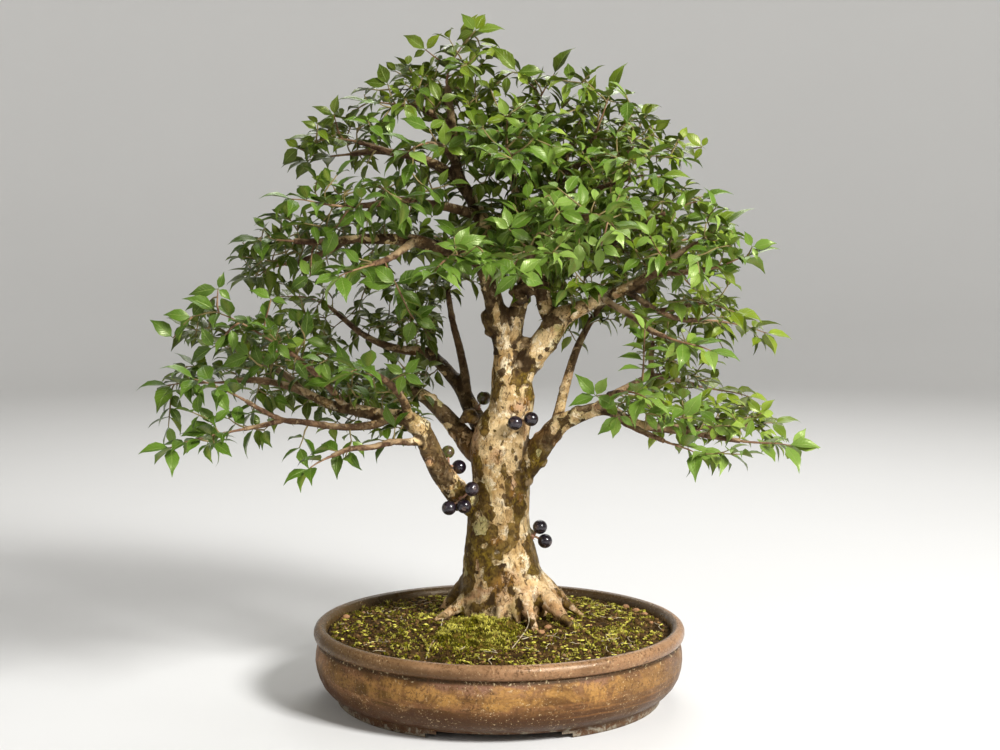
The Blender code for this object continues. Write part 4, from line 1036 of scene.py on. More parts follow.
def peeled_wood(f, upright, fine, rough, crack):
    """The cream wood under flaked bark, with tan stains, pink at the roots, moss, cracks and specks."""
    cloud = f.ranged(f.noise(50, 4, 0.6, 0.6), 0.36, 0.64)
    colour = f.mix(cloud, (0.76, 0.555, 0.290), (0.47, 0.295, 0.115))
    colour = f.mix(f.ranged(f.noise(85, 5, 0.7, 0.4), 0.50, 0.62, 0, 0.9), colour, (0.92, 0.775, 0.53))
    colour = f.mix(f.ranged(rough, 0.52, 0.66, 0, 0.70), colour, (0.255, 0.150, 0.058))
    stain = f.ranged(f.noise(62, 5, 0.65, 1.4, upright), 0.54, 0.70, 0, 0.75)
    colour = f.mix(stain, colour, (0.350, 0.165, 0.036))
    colour = f.mix(f.ranged(f.axis("Z"), *CROWN_BARK, 0, 0.40), colour, (0.430, 0.340, 0.145))
    low = f.ranged(f.axis("Z"), *ROOT_BARK, 0, 0.45)
    pink = f.math("MAXIMUM", low, f.math("MINIMUM", f.value("warm"), 0.75))
    colour = f.mix(pink, colour, (0.52, 0.270, 0.140))
    mossy = f.times(f.value("green"), f.ranged(fine, 0.40, 0.60, 0.55, 0.95))
    colour = f.mix(mossy, colour, (0.400, 0.370, 0.145))
    colour = f.laid(colour, (0.150, 0.078, 0.026), crack, 0.60)
    return f.mix(f.ranged(f.noise(480, 3, 0.65), 0.59, 0.67, 0, 0.65), colour, (0.200, 0.110, 0.034))


def old_bark(f, girth):
    """Bark that hasn't peeled: olive or brown, and rust where it is warm."""
    cloud = f.ranged(f.noise(75, 5, 0.65, 0.8), 0.38, 0.62)
    olive = f.mix(cloud, (0.074, 0.040, 0.006), (0.230, 0.150, 0.016))
    olive = f.mix(f.ranged(f.noise(190, 4, 0.65), 0.46, 0.66, 0, 0.85), olive, (0.036, 0.018, 0.005))
    olive = f.mix(f.ranged(f.noise(120, 4, 0.65, 0.8), 0.58, 0.68, 0, 0.8), olive, (0.34, 0.240, 0.085))
    cloud = f.ranged(f.noise(70, 4, 0.6, 0.8), 0.38, 0.62)
    slim = f.mix(cloud, (0.046, 0.026, 0.010), (0.155, 0.098, 0.045))
    stout = f.mix(cloud, (0.078, 0.042, 0.008), (0.235, 0.142, 0.034))
    brown = f.mix(f.ranged(girth, 0.45, 0.70), slim, stout)
    brown = f.mix(f.ranged(f.noise(260, 4, 0.65), 0.52, 0.68, 0, 0.8), brown, (0.026, 0.013, 0.006))
    brown = f.mix(f.ranged(f.noise(140, 3, 0.6, 0.6), 0.60, 0.69, 0, 0.7), brown, (0.32, 0.235, 0.130))
    colour = f.mix(f.times(f.value("green"), f.ranged(girth, 0.25, 0.50)), brown, olive)
    return f.laid(colour, (0.290, 0.130, 0.025), f.value("warm"), 0.75)


def young_bark(f, rough):
    """The red brown bark of slim limbs, paler where it flakes."""
    colour = f.mix(f.ranged(f.noise(90, 3, 0.6), 0.40, 0.62), (0.085, 0.042, 0.024), (0.215, 0.125, 0.066))
    colour = f.mix(f.ranged(f.value("flake"), 0.50, 0.34, 0, 0.75), colour, (0.40, 0.275, 0.150))
    return f.mix(f.ranged(rough, 0.55, 0.68, 0, 0.7), colour, (0.44, 0.320, 0.185))


def bark_finish():
    """Peeling bark: cream and tan where it has flaked, olive or brown where it hasn't, with dark flecks,
    painted shade in its crevices and a painted highlight on its ridges.
    """
    f = Finish("bark", 0.7, specular=0.17, tint=(1.0, 0.9, 0.75))
    upright = f.stretched(0.55)
    girth = f.value("girth")
    hollow = f.value("hollow")
    fine = f.noise(460, 4, 0.68)
    rough = f.noise(170, 5, 0.70, 0.9, upright)
    edge = f.plus(f.times(rough, 1.05), f.times(fine, 0.25))
    uneven = f.less(edge, 0.65)
    kept_value = f.plus(f.value("flake"), uneven)
    kept = f.ranged(kept_value, 0.49, 0.52)
    rim = f.band(kept_value, (0.44, 0.49), (0.56, 0.515))
    crack = f.math("ABSOLUTE", f.less(f.noise(210, 4, 0.6, 1.6, upright), 0.5))
    crack = f.times(f.ranged(crack, 0.0, 0.020, 1, 0), f.ranged(f.noise(45, 2), 0.40, 0.58))
    colour = f.mix(kept, peeled_wood(f, upright, fine, rough, crack), old_bark(f, girth))
    colour = f.laid(colour, (0.085, 0.042, 0.012), rim, 0.50)
    flecks = f.ranged(f.noise(250, 4, 0.60, 0.8, f.stretched(0.6)), 0.570, 0.618)
    large = f.ranged(f.noise(120, 4, 0.60, 0.8, f.stretched(0.7)), 0.620, 0.660)
    where = f.ranged(f.noise(24, 3, 0.5, 0.5), 0.40, 0.56, 0.45, 1)
    flecks = f.math("MAXIMUM", f.times(flecks, where), large)
    colour = f.laid(colour, (0.060, 0.026, 0.008), flecks, 0.85)
    colour = f.mix(f.ranged(girth, 0.10, 0.20, 1, 0), colour, young_bark(f, rough))
    # Near black where the dark value is high: dark bark, and painted shade between the roots at the trunk's
    # foot
    dark = f.ranged(f.plus(f.value("dark"), uneven), 0.35, 0.60, 0, 0.9)
    colour = f.mix(dark, colour, (0.034, 0.017, 0.006))
    # Painted shade in the crevices and a painted highlight on the ridges, by how sunk each point is
    colour = f.mix(f.ranged(hollow, 0.10, 0.85, 0, 0.90), colour, (0.034, 0.016, 0.006))
    ridge_highlight = f.times(f.ranged(hollow, -0.30, -1.0, 0, 0.40), f.ranged(girth, 0.3, 0.6, 0.25, 1))
    colour = f.mix(ridge_highlight, colour, (0.70, 0.50, 0.28))
    relief = f.plus(f.times(kept, 0.8), f.times(fine, 0.55))
    relief = f.less(relief, f.times(f.plus(flecks, crack), 0.5))
    normal = f.bump(f.plus(relief, f.times(rough, 0.7)), 0.0012, 0.95)
    smooth_bark = f.times(kept, f.ranged(f.value("green"), 0.5, 0.0, 0, 0.22))
    return f.done(colour, normal, f.less(f.ranged(rough, 0.3, 0.7, 0.54, 0.78), smooth_bark))


def twig_finish():
    """Young wood: reddish brown, paler at the nodes."""
    f = Finish("young_wood", 0.6, specular=0.4)
    colour = f.mix(f.ranged(f.noise(120, 3, 0.6), 0.38, 0.64), (0.16, 0.075, 0.036), (0.27, 0.165, 0.075))
    green = f.mix(f.ranged(f.value("tone"), 0.5, 1.0, 0.0, 0.75), colour, (0.22, 0.24, 0.06))
    return f.done(green, f.bump(f.noise(500, 2), 0.0003, 0.6))


def leaf_finish():
    """A glossy leaf with a pale midrib and faint side veins, by the place on its blade."""
    f = Finish("leaf", 0.34, specular=0.48, tint=(0.97, 1.0, 0.62))
    tone = f.value("tone")
    low_tone = f.ranged(tone, 0.0, 0.5)
    high_tone = f.ranged(tone, 0.45, 1.0)
    along = f.value("along")
    across = f.math("ABSOLUTE", f.value("across"))
    yellow = f.mix(low_tone, (0.042, 0.056, 0.001), (0.132, 0.176, 0.003))
    yellow = f.mix(high_tone, yellow, (0.300, 0.385, 0.030))
    fresh = f.mix(low_tone, (0.026, 0.060, 0.002), (0.084, 0.163, 0.014))
    fresh = f.mix(high_tone, fresh, (0.235, 0.348, 0.066))
    cloud = f.ranged(f.noise(130, 3, 0.6), 0.35, 0.7, 0.0, 0.35)
    colour = f.mix(cloud, f.mix(f.value("cool"), yellow, fresh), (0.115, 0.195, 0.020))
    ribs = f.math("FRACT", f.less(f.times(along, 9.0), f.times(across, 2.0)))
    rib = f.ranged(f.math("ABSOLUTE", f.less(ribs, 0.5)), 0.0, 0.13, 1, 0)
    colour = f.laid(colour, (0.20, 0.30, 0.06), rib, 0.16)
    midrib = f.ranged(across, 0.02, 0.10, 1, 0)
    colour = f.laid(colour, (0.26, 0.34, 0.08), midrib, 0.45)
    # Paler margins: a painted highlight for light caught along the leaf's edges
    colour = f.laid(colour, (0.25, 0.30, 0.05), f.ranged(across, 0.88, 1.0), 0.35)
    colour = f.laid(colour, (0.200, 0.250, 0.040), f.ranged(f.value("under"), 0.3, 0.8), 0.8)
    spots = f.times(f.ranged(f.noise(420, 2), 0.70, 0.74), f.ranged(f.noise(18, 2), 0.5, 0.6))
    colour = f.laid(colour, (0.16, 0.085, 0.020), spots, 0.7)
    relief = f.plus(f.times(rib, -0.6), f.times(midrib, -1.0))
    return f.done(colour, f.bump(relief, 0.00045, 0.7), f.ranged(f.noise(60, 2), 0.3, 0.7, 0.27, 0.42))


def glaze_sides(f, height, side, drift, streak, thrown):
    """Brown with olive and streaks, purple under the lip, an ochre belly, a dark foot and wheel lines, and
    painted shade on the left and at the right end.
    """
    colour = f.mix(f.ranged(drift, 0.38, 0.62), (0.098, 0.042, 0.013), (0.205, 0.098, 0.032))
    # The olive layer on the left side is partly the glaze's olive brown and partly painted shade on the side
    # away from the light
    olive = f.times(f.ranged(side, 0.0, -0.12), f.ranged(f.noise(20, 4, 0.6, 0.5), 0.34, 0.56))
    colour = f.laid(colour, (0.076, 0.038, 0.005), olive, 0.92)
    colour = f.mix(f.ranged(streak, 0.50, 0.64, 0, 0.70), colour, (0.260, 0.120, 0.050))
    purple = f.times(f.ranged(height, 0.048, 0.057), f.ranged(f.noise(17, 4, 0.6, 0.6), 0.36, 0.56))
    purple = f.times(purple, f.ranged(side, -0.13, 0.02, 0.3, 1))
    colour = f.laid(colour, (0.250, 0.128, 0.085), purple, 0.80)
    reach = f.plus(height, f.times(f.less(f.noise(24, 5, 0.65, 0.8), 0.5), 0.046))
    ochre = f.times(f.band(reach, *GLAZE_BELLY), f.ranged(side, -0.17, -0.03, 0.30, 1.0))
    ochre = f.times(ochre, f.ranged(f.noise(26, 5, 0.7, 1.0), 0.40, 0.56, 0.15, 1))
    colour = f.laid(colour, (0.430, 0.225, 0.062), ochre, 0.86)
    fringe = f.times(f.band(reach, *GLAZE_FRINGE), f.ranged(f.noise(33, 4, 0.6), 0.50, 0.62))
    colour = f.laid(colour, (0.50, 0.31, 0.15), fringe, 0.45)
    colour = f.laid(colour, (0.064, 0.026, 0.012), f.ranged(reach, *GLAZE_LOW), 0.90)
    colour = f.laid(colour, (0.330, 0.150, 0.048), thrown, 0.42)
    # The right end of the belly is darkened as painted shade
    right = f.times(f.ranged(side, 0.11, 0.17), f.ranged(f.noise(30, 4, 0.6), 0.36, 0.60, 0.4, 1))
    return f.laid(colour, (0.140, 0.070, 0.027), right, 0.72)


def glaze_lip(f, colour, height, side, lip):
    """The lip with a painted highlight along its top and painted shade at the far left, the inside, and the
    groove with its crumbs.
    """
    shade = f.ranged(f.noise(9, 4, 0.6, 0.5), 0.40, 0.60)
    lip_colour = f.mix(shade, (0.120, 0.058, 0.022), (0.300, 0.160, 0.076))
    # A painted highlight along the lip's top
    lip_highlight = f.times(f.ranged(height, *GLAZE_LIP_HIGHLIGHT), f.ranged(f.noise(22, 4, 0.6), 0.30, 0.60, 0.20, 0.65))
    lip_colour = f.mix(lip_highlight, lip_colour, (0.420, 0.240, 0.120))
    colour = f.laid(colour, lip_colour, lip, 0.92)
    # The lip is darkened at the far left as painted shade
    far = f.times(lip, f.ranged(side, -0.03, -0.15))
    colour = f.laid(colour, (0.085, 0.050, 0.014), far, 0.8)
    level = f.vector("MULTIPLY", f.vector("SUBTRACT", f.place, (POT_CENTRE_X, 0, 0))["Vector"], (1, 1, 0))
    radius = f.vector("LENGTH", level["Vector"])["Value"]
    inner = f.times(f.ranged(radius, *POT_INNER_RADII), f.ranged(height, 0.020, 0.030))
    colour = f.laid(colour, (0.062, 0.040, 0.014), inner, 0.85)
    colour = f.laid(colour, (0.030, 0.015, 0.005), f.band(height, *GLAZE_GROOVE), 0.90)
    crumbs = f.times(f.ranged(height, *GLAZE_CRUMBS[0]), f.ranged(f.noise(240, 3, 0.6), 0.60, 0.66))
    crumbs = f.times(crumbs, f.ranged(height, *GLAZE_CRUMBS[1]))
    return f.laid(colour, (0.55, 0.44, 0.26), crumbs, 0.8)


def glaze_foot(f, colour, height, lime):
    """Dust and lime round the foot."""
    dusty = f.times(f.ranged(height, 0.026, 0.008), f.ranged(f.noise(60, 5, 0.7, 0.6), 0.42, 0.60))
    colour = f.laid(colour, (0.130, 0.098, 0.068), dusty, 0.45)
    return f.laid(colour, (0.28, 0.25, 0.19), lime, 0.80)


def glaze_grain(f, colour, grain, pits):
    """Fine dark grain, pale specks and dark pits."""
    cover = f.ranged(f.noise(34, 4, 0.6), 0.36, 0.62, 0.42, 0.95)
    colour = f.mix(f.times(f.ranged(grain, 0.47, 0.62), cover), colour, (0.092, 0.042, 0.016))
    pale = f.ranged(f.noise(420, 3, 0.6), 0.60, 0.69, 0, 0.8)
    colour = f.mix(f.times(pale, f.ranged(f.noise(30, 3), 0.40, 0.60, 0.2, 1)), colour, (0.58, 0.42, 0.23))
    return f.mix(pits, colour, (0.035, 0.014, 0.006))


def glaze_pits(f):
    """Dark pits all over, fewer round one pitted spot, which has its own."""
    pits = f.ranged(f.noise(170, 4, 0.7, 0.8), 0.660, 0.700)
    spot = f.vector("DISTANCE", f.place, PITTED_SPOT)["Value"]
    pits = f.times(pits, f.ranged(spot, 0.006, 0.045, 1.0, 0.45))
    spotted = f.times(f.ranged(spot, 0.009, 0.005), f.ranged(f.noise(210, 4, 0.7), 0.50, 0.60, 0, 0.85))
    return f.math("MAXIMUM", pits, spotted)


def glaze_finish():
    """Brown glaze that breaks to ochre on the belly, purple under the lip, grey with lime at the foot."""
    f = Finish("glaze", 0.4, specular=0.24, tint=(1.0, 0.86, 0.68))
    height = f.axis("Z")
    side = f.axis("X")
    drift = f.noise(12, 4, 0.6, 0.8, f.stretched(2.2))
    streak = f.noise(14, 4, 0.6, 0.35, f.stretched(7))
    thrown = f.plus(f.times(height, 900.0), f.times(drift, 5.0))
    thrown = f.times(f.ranged(f.math("SINE", thrown), 0.1, 0.9), f.ranged(side, 0.05, 0.13))
    thrown = f.times(thrown, f.band(height, *GLAZE_THROWN))
    lip = f.ranged(height, 0.067, 0.070)
    lime = f.plus(f.ranged(height, 0.012, 0.0, 0, 0.16), f.noise(75, 5, 0.75, 0.9))
    lime = f.times(f.ranged(lime, 0.56, 0.66), f.ranged(height, 0.022, 0.012))
    grain = f.noise(330, 5, 0.74)
    pits = glaze_pits(f)
    colour = glaze_sides(f, height, side, drift, streak, thrown)
    colour = glaze_lip(f, colour, height, side, lip)
    colour = glaze_grain(f, glaze_foot(f, colour, height, lime), grain, pits)
    relief = f.less(f.times(grain, 0.55), f.times(pits, 0.9))
    relief = f.plus(relief, f.plus(f.times(streak, 0.8), f.times(thrown, 0.5)))
    roughness = f.ranged(f.plus(f.noise(40, 4, 0.6), f.times(lime, 0.5)), 0.3, 0.9, 0.34, 0.70)
    roughness = f.less(roughness, f.times(lip, 0.16))
    lit = f.ranged(side, -0.17, -0.02, 0.05, 0.22)
    f.feed(f.shader.inputs["Specular IOR Level"], f.plus(f.times(lip, lit), lit))
    return f.done(colour, f.bump(relief, 0.0009, 0.7), roughness)


def soil_finish():
    f = Finish("soil", 0.9, specular=0.1)
    colour = f.mix(f.ranged(f.noise(70, 4, 0.65), 0.35, 0.65), (0.030, 0.016, 0.004), (0.092, 0.050, 0.014))
    colour = f.mix(f.ranged(f.value("tone"), 0.2, 1.0, 0, 0.9), colour, (0.300, 0.170, 0.062))
    colour = f.mix(f.ranged(f.noise(300, 3, 0.6), 0.5, 0.7, 0, 0.7), colour, (0.020, 0.011, 0.006))
    return f.done(colour, f.bump(f.noise(700, 4, 0.7), 0.0008, 0.9))


def stone_finish():
    f = Finish("grit", 0.8, specular=0.4)
    colour = f.mix(f.value("tone"), (0.30, 0.21, 0.13), (0.47, 0.22, 0.085))
    colour = f.mix(f.ranged(f.noise(400, 3, 0.6), 0.45, 0.7, 0, 0.6), colour, (0.12, 0.08, 0.05))
    return f.done(colour, f.bump(f.noise(900, 3), 0.0005, 0.8))


def root_hair_finish():
    f = Finish("fine_root", 0.7, specular=0.3)
    return f.done(f.mix(f.ranged(f.noise(150), 0.35, 0.65), (0.46, 0.36, 0.22), (0.62, 0.53, 0.36)))


def moss_finish():
    f = Finish("moss", 0.75, specular=0.12)
    tone = f.value("tone")
    colour = f.mix(f.ranged(tone, 0.0, 0.5), (0.050, 0.041, 0.001), (0.278, 0.254, 0.005))
    colour = f.mix(f.ranged(tone, 0.5, 1.0), colour, (0.860, 0.780, 0.150))
    colour = f.mix(f.ranged(f.noise(120, 3), 0.50, 0.66, 0, 0.75), colour, (0.190, 0.115, 0.022))
    return f.done(colour, f.bump(f.noise(800, 3), 0.0006, 0.8))


def berry_finish():
    """A near-black skin with a thin bloom, or green brown where the tone says that it isn't ripe."""
    f = Finish("berry", 0.24, coat=0.35, specular=0.5)
    tone = f.value("tone")
    ripe = f.mix(f.ranged(f.noise(110, 3, 0.6), 0.42, 0.68), (0.009, 0.005, 0.010), (0.030, 0.020, 0.027))
    cloud = f.ranged(f.noise(130, 4, 0.6, 0.5), 0.40, 0.60)
    unripe = f.mix(cloud, (0.115, 0.135, 0.030), (0.075, 0.045, 0.022))
    colour = f.mix(tone, ripe, unripe)
    colour = f.mix(f.value("scar"), colour, (0.16, 0.095, 0.070))
    return f.done(colour, f.bump(f.noise(260, 3), 0.0003, 0.25), f.ranged(f.noise(90), 0.3, 0.7, 0.18, 0.34))


def stalk_finish():
    f = Finish("berry_stalk", 0.6, specular=0.4)
    return f.done(f.mix(f.ranged(f.noise(260), 0.4, 0.62), (0.42, 0.20, 0.13), (0.34, 0.24, 0.13)))


def floor_finish():
    f = Finish("floor", 0.85, specular=0.2)
    return f.done(f.mix(f.noise(3), (0.74, 0.735, 0.72), (0.76, 0.755, 0.74)))


def limb_routes():
    """Each limb's points and radii, starting on the middle line of the limb that it grows from."""
    routes = {}
    for name, (parent, _, rows) in LIMBS.items():
        points = np.array([sight(*row[:3]) for row in rows])
        radii = np.array([row[3] * MM for row in rows])
        if parent:
            points[0] = nearest_on(routes[parent][0], points[0])
        routes[name] = (points, radii)
    return routes


def nearest_on(points, place):
    """The place on a route that is nearest to another."""
    best = None
    for a, b in zip(points, points[1:]):
        share = (place - a).dot(b - a) / (b - a).dot(b - a)
        found = a + (b - a) * min(max(share, 0), 1)
        if best is None or np.linalg.norm(found - place) < np.linalg.norm(best - place):
            best = found
    return best


def add_knobs(heap, points, radii, draw):
    """Small swellings where twigs once grew."""
    place = draw.uniform(*KNOB_START)
    travelled = 0
    for a, b, radius in zip(points, points[1:], radii):
        travelled += np.linalg.norm(b - a)
        if travelled < place:
            continue
        place += draw.uniform(*KNOB_SPACING)
        along = unit(b - a)
        side = unit(np.cross(along, [draw.uniform(-1, 1), draw.uniform(-1, 1), draw.uniform(-1, 1)]))
        size = radius * draw.uniform(*KNOB_SIZES)
        heap.add(*ball(a + side * radius * KNOB_SEAT, (size, size, size), 8, 6))


def blended(places, samples):
    """The radius and the shade of the limbs at each place, blended where two limbs are about as near."""
    centres = np.array([sample[0] for sample in samples])
    sizes = np.array([sample[1] for sample in samples])
    shades = np.array([sample[2] for sample in samples])
    radii, shade = [], []
    for start in range(0, len(places), BLEND_CHUNK):
        part = places[start:start + BLEND_CHUNK]
        away = np.linalg.norm(part[:, None, :] - centres[None], axis=2) - sizes[None]
        weight = np.exp(-(away - away.min(1, keepdims=True)) / BLEND_REACH)
        weight /= weight.sum(1, keepdims=True)
        radii.append(weight @ sizes)
        shade.append(weight @ shades)
    return np.concatenate(radii), np.concatenate(shade)


def bark_noise(place):
    """A rough pattern a few centimetres across, taller than wide."""
    upright = Vector((place.x, place.y, place.z * 0.5)) * 36
    return noise.noise(upright) + 0.55 * noise.noise(upright * 2.1) + 0.30 * noise.noise(upright * 4.3)


def bark_look(places, normals, shades):
    """How much old bark each point keeps, over a half where it is whole, and its green, warm and dark."""
    spots = [Vector(place) for place in places]
    rough = np.array([bark_noise(spot) for spot in spots])
    tint = np.array([noise.noise(spot * 24 + Vector((3, 1, 8))) for spot in spots])
    # Points that face up keep less old bark and those that face down keep more: partly bark peeled on the
    # tops, partly painted light on the lit tops and painted shade on the undersides
    kept = 0.5 + 0.40 * rough + 0.50 * (np.asarray(shades) - 0.45) - 0.22 * normals[:, 2]
    look = {
        "flake": kept,
        "green": np.where(kept > 0.5, np.clip(0.45 + 1.1 * tint, 0, 1), np.clip(1.6 * tint - 0.35, 0, 0.6)),
        "warm": np.clip(-1.2 * tint - 0.15, 0, 0.7),
        "dark": np.clip(1.6 * rough - 1.35, 0, 0.5),
    }
    column, row = pixel_of(places.T)
    column = column + PATCH_WANDER * np.array([noise.noise(spot * 150) for spot in spots])
    row = row + PATCH_WANDER * np.array([noise.noise(spot * 150 + Vector((5, 0, 0))) for spot in spots])
    facing = np.clip((0.30 - normals[:, 1]) / 0.35, 0, 1)
    patches = [(*patch, PATCH_KINDS[kind]) for kind, listed in BARK_PATCHES.items() for patch in listed]
    patches.sort(key=lambda patch: -patch[2] * patch[3])
    for middle, level, half_width, half_height, aims in patches:
        away = ((column - middle) / half_width) ** 2 + ((row - level) / half_height) ** 2
        share = facing * np.exp(-np.minimum(away, 6) ** 2)
        for name, aim in zip(look, aims):
            look[name] = look[name] * (1 - share) + aim * share
    return look


class Neighbours:
    """A mesh's points with the means to even out values over those next to them."""

    def __init__(self, mesh):
        self.count = len(mesh.vertices)
        edges = np.empty(len(mesh.edges) * 2, np.int32)
        mesh.edges.foreach_get("vertices", edges)
        first, second = edges.reshape(-1, 2).T
        self.ends = np.concatenate([first, second])
        self.others = np.concatenate([second, first])
        self.shares = np.maximum(np.bincount(self.ends, minlength=self.count), 1)

    def even(self, values, times):
        for _ in range(times):
            values = np.bincount(self.ends, values[self.others], self.count) / self.shares
        return values

    def sunk(self, places, normals, times):
        """How far each point lies below its neighbourhood."""
        level = np.column_stack([self.even(places[:, axis], times) for axis in range(3)])
        return ((level - places) * normals).sum(1)


def read_points(mesh, what):
    values = np.empty(len(mesh.vertices) * 3, np.float32)
    mesh.vertices.foreach_get(what, values)
    return values.reshape(-1, 3).astype(float)


def place_points(mesh, places):
    mesh.vertices.foreach_set("co", places.astype(np.float32).ravel())
    mesh.update()


def fill_crevices(mesh, around):
    """Raises the crevices between the roots, and leaves their ridges."""
    for times in FILL_ROUNDS:
        places = read_points(mesh, "co")
        normals = read_points(mesh, "normal")
        rise = np.clip(around.sunk(places, normals, times), 0, FILL_MOST)
        rise = rise * np.clip((ROOT_FILL_HEIGHT - places[:, 2]) / 0.03, 0, 1)
        place_points(mesh, places + normals * around.even(rise, 2)[:, None])


def hollows(mesh, around):
    """How sunk each point is below its neighbourhood, from -1 on a ridge to 1 in a crevice."""
    sunk = around.sunk(read_points(mesh, "co"), read_points(mesh, "normal"), 8)
    return np.clip((sunk - around.even(sunk, 45)) / 0.0008, -1, 1)


def bark_rise(places, radii, kept):
    """How far the bark stands out in millimetres: lumps, flutes low on the trunk, and old bark."""
    out = np.zeros(len(places))
    for index, place in enumerate(places):
        spot = Vector(place)
        tall = Vector((spot.x, spot.y, spot.z * 0.22))
        rise = 0.75 * noise.noise(spot * 55) + 0.45 * noise.noise(spot * 150)
        flute = min(max(0.0, 1 - (spot.z - 0.085) / 0.13), 1) if radii[index] > 0.02 else 0.0
        out[index] = rise * min(radii[index] / LUMPY_RADIUS, 1) + 3.0 * flute * noise.noise(tall * 44)
    return out + 0.55 * np.clip((kept - 0.45) / 0.08, 0, 1) * np.minimum(radii / LUMPY_RADIUS, 1)


def finish_wood(wood, samples):
    """Fills the crevices of the skin, raises its bark and keeps what the bark looks like at each point."""
    mesh = wood.data
    around = Neighbours(mesh)
    fill_crevices(mesh, around)
    places = read_points(mesh, "co")
    normals = read_points(mesh, "normal")
    radii, shade = blended(places, samples)
    look = bark_look(places, normals, shade)
    out = bark_rise(places, radii, look["flake"])
    place_points(mesh, places + normals * out[:, None] * MM)
    look["girth"] = np.minimum(radii / FULL_GIRTH, 1)
    look["hollow"] = hollows(mesh, around)
    for name, values in look.items():
        mesh.attributes.new(name, "FLOAT", "POINT").data.foreach_set("value", values.astype(np.float32))
    mesh.shade_smooth()


def add_slim_limb(heap, points, radii, shade, draw):
    """A slim limb as a tube that swells at its nodes, with its bark's look."""
    run = np.arange(len(points)) * ROUTE_STEP
    node = np.exp(-((((run + 0.004) % NODE_SPACING) - NODE_SPACING / 2) / 0.0022) ** 2)
    lumps = 1 + 0.16 * node + np.array([draw.uniform(-0.05, 0.05) for _ in run])
    lumps[-1] = 1
    places, corners = tube(points, radii * lumps, SLIM_SIDES)
    girths = np.repeat(np.minimum(radii / FULL_GIRTH, 1), SLIM_SIDES)
    girths = np.concatenate([girths, girths[:1], girths[-1:]])
    ways = np.vstack([places[:-2] - np.repeat(points, SLIM_SIDES, axis=0), np.zeros((2, 3))])
    heap.add(places, corners, girth=girths, **bark_look(places, units(ways), np.full(len(places), shade)))


def add_roots(heap, samples, draw):
    """The surface roots, with their samples of bark, and the burls."""
    for rows in ROOTS:
        points, radii = smooth_route(
            [sight(*row[:3]) for row in rows], [row[3] * MM * ROOT_SWELL for row in rows], ROUTE_STEP
        )
        heap.add(*tube(ragged(points, draw, ROOT_WANDER), radii, LIMB_SIDES))
        samples += [(point, max(radius, ROOT_SAMPLE), ROOT_SHADE) for point, radius in zip(points, radii)]
    for column, row, depth, radius in BURLS:
        heap.add(*rough_ball(sight(column, row, depth), radius * MM, draw))


def make_wood(smooth, bark):
    """Roots, trunk and stout limbs in one skin, and the slim limbs as tubes that run on from it."""
    draw = random.Random(WOOD_SEED)
    stout = Heap()
    slim = Heap()
    samples = []
    for name, (points, radii) in smooth.items():
        shade = BARK_SHADES.get(name, OTHER_BARK_SHADE)
        samples += [(point, radius, shade) for point, radius in zip(points, radii)]
        thick = int((radii > SKIN_RADIUS).sum())
        if thick > 3:
            end = min(thick + 2, len(points))
            stout.add(*tube(points[:end], radii[:end], TRUNK_SIDES if name == "trunk" else LIMB_SIDES))
            if name != "trunk":
                add_knobs(stout, points[2:end], radii[2:end], draw)
        else:
            thick = 0
        if thick < len(points) - 1:
            start = max(thick - 1, 0)
            add_slim_limb(slim, points[start:], radii[start:], shade, draw)
    add_roots(stout, samples, draw)
    wood = stout.piece("wood", [bark])
    voxel_skin(wood, SKIN_FACE)
    wood.data.materials.clear()
    wood.data.materials.append(bark)
    finish_wood(wood, samples)
    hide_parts("trunk")
    return [wood, slim.piece("slim_branches", [bark])]


def bezier(a, b, c, d, shares):
    shares = np.asarray(shares, float)[:, None]
    rest = 1 - shares
    return a * rest**3 + b * 3 * rest**2 * shares + c * 3 * rest * shares**2 + d * shares**3


def twig_route(seat, heading, tip):
    """A spray's own twig, laid out as in the solids."""
    reach = tip - seat
    end = tip - unit(reach) * LEAF_LENGTH * TWIG_END_LEAF
    length = np.linalg.norm(end - seat)
    start = seat + heading * GAP
    leave = start + heading * TWIG_STRAIGHT
    handle = leave + heading * length * TWIG_BEND[0]
    arrive = end - unit(reach) * length * TWIG_BEND[1] + UP * TWIG_ARCH * length
    return np.vstack([start, leave, bezier(leave, handle, arrive, end, TWIG_STEPS)])


def along_route(points, distance):
    """The place and the direction at a distance along a route."""
    for a, b in zip(points, points[1:]):
        length = np.linalg.norm(b - a)
        if distance <= length:
            break
        distance -= length
    direction = unit(b - a)
    return a + direction * min(distance, length), direction


def route_length(points):
    return float(np.linalg.norm(np.diff(points, axis=0), axis=1).sum())


def leaf_way(ahead, side, over, hand, tilt, spread, droop):
    """The way that a leaf points: to one hand of its twig, tilted round it, spread and drooping."""
    sideways = (side * math.cos(tilt) + over * math.sin(tilt)) * hand
    return unit(ahead * math.cos(spread) + sideways * math.sin(spread) - UP * droop)


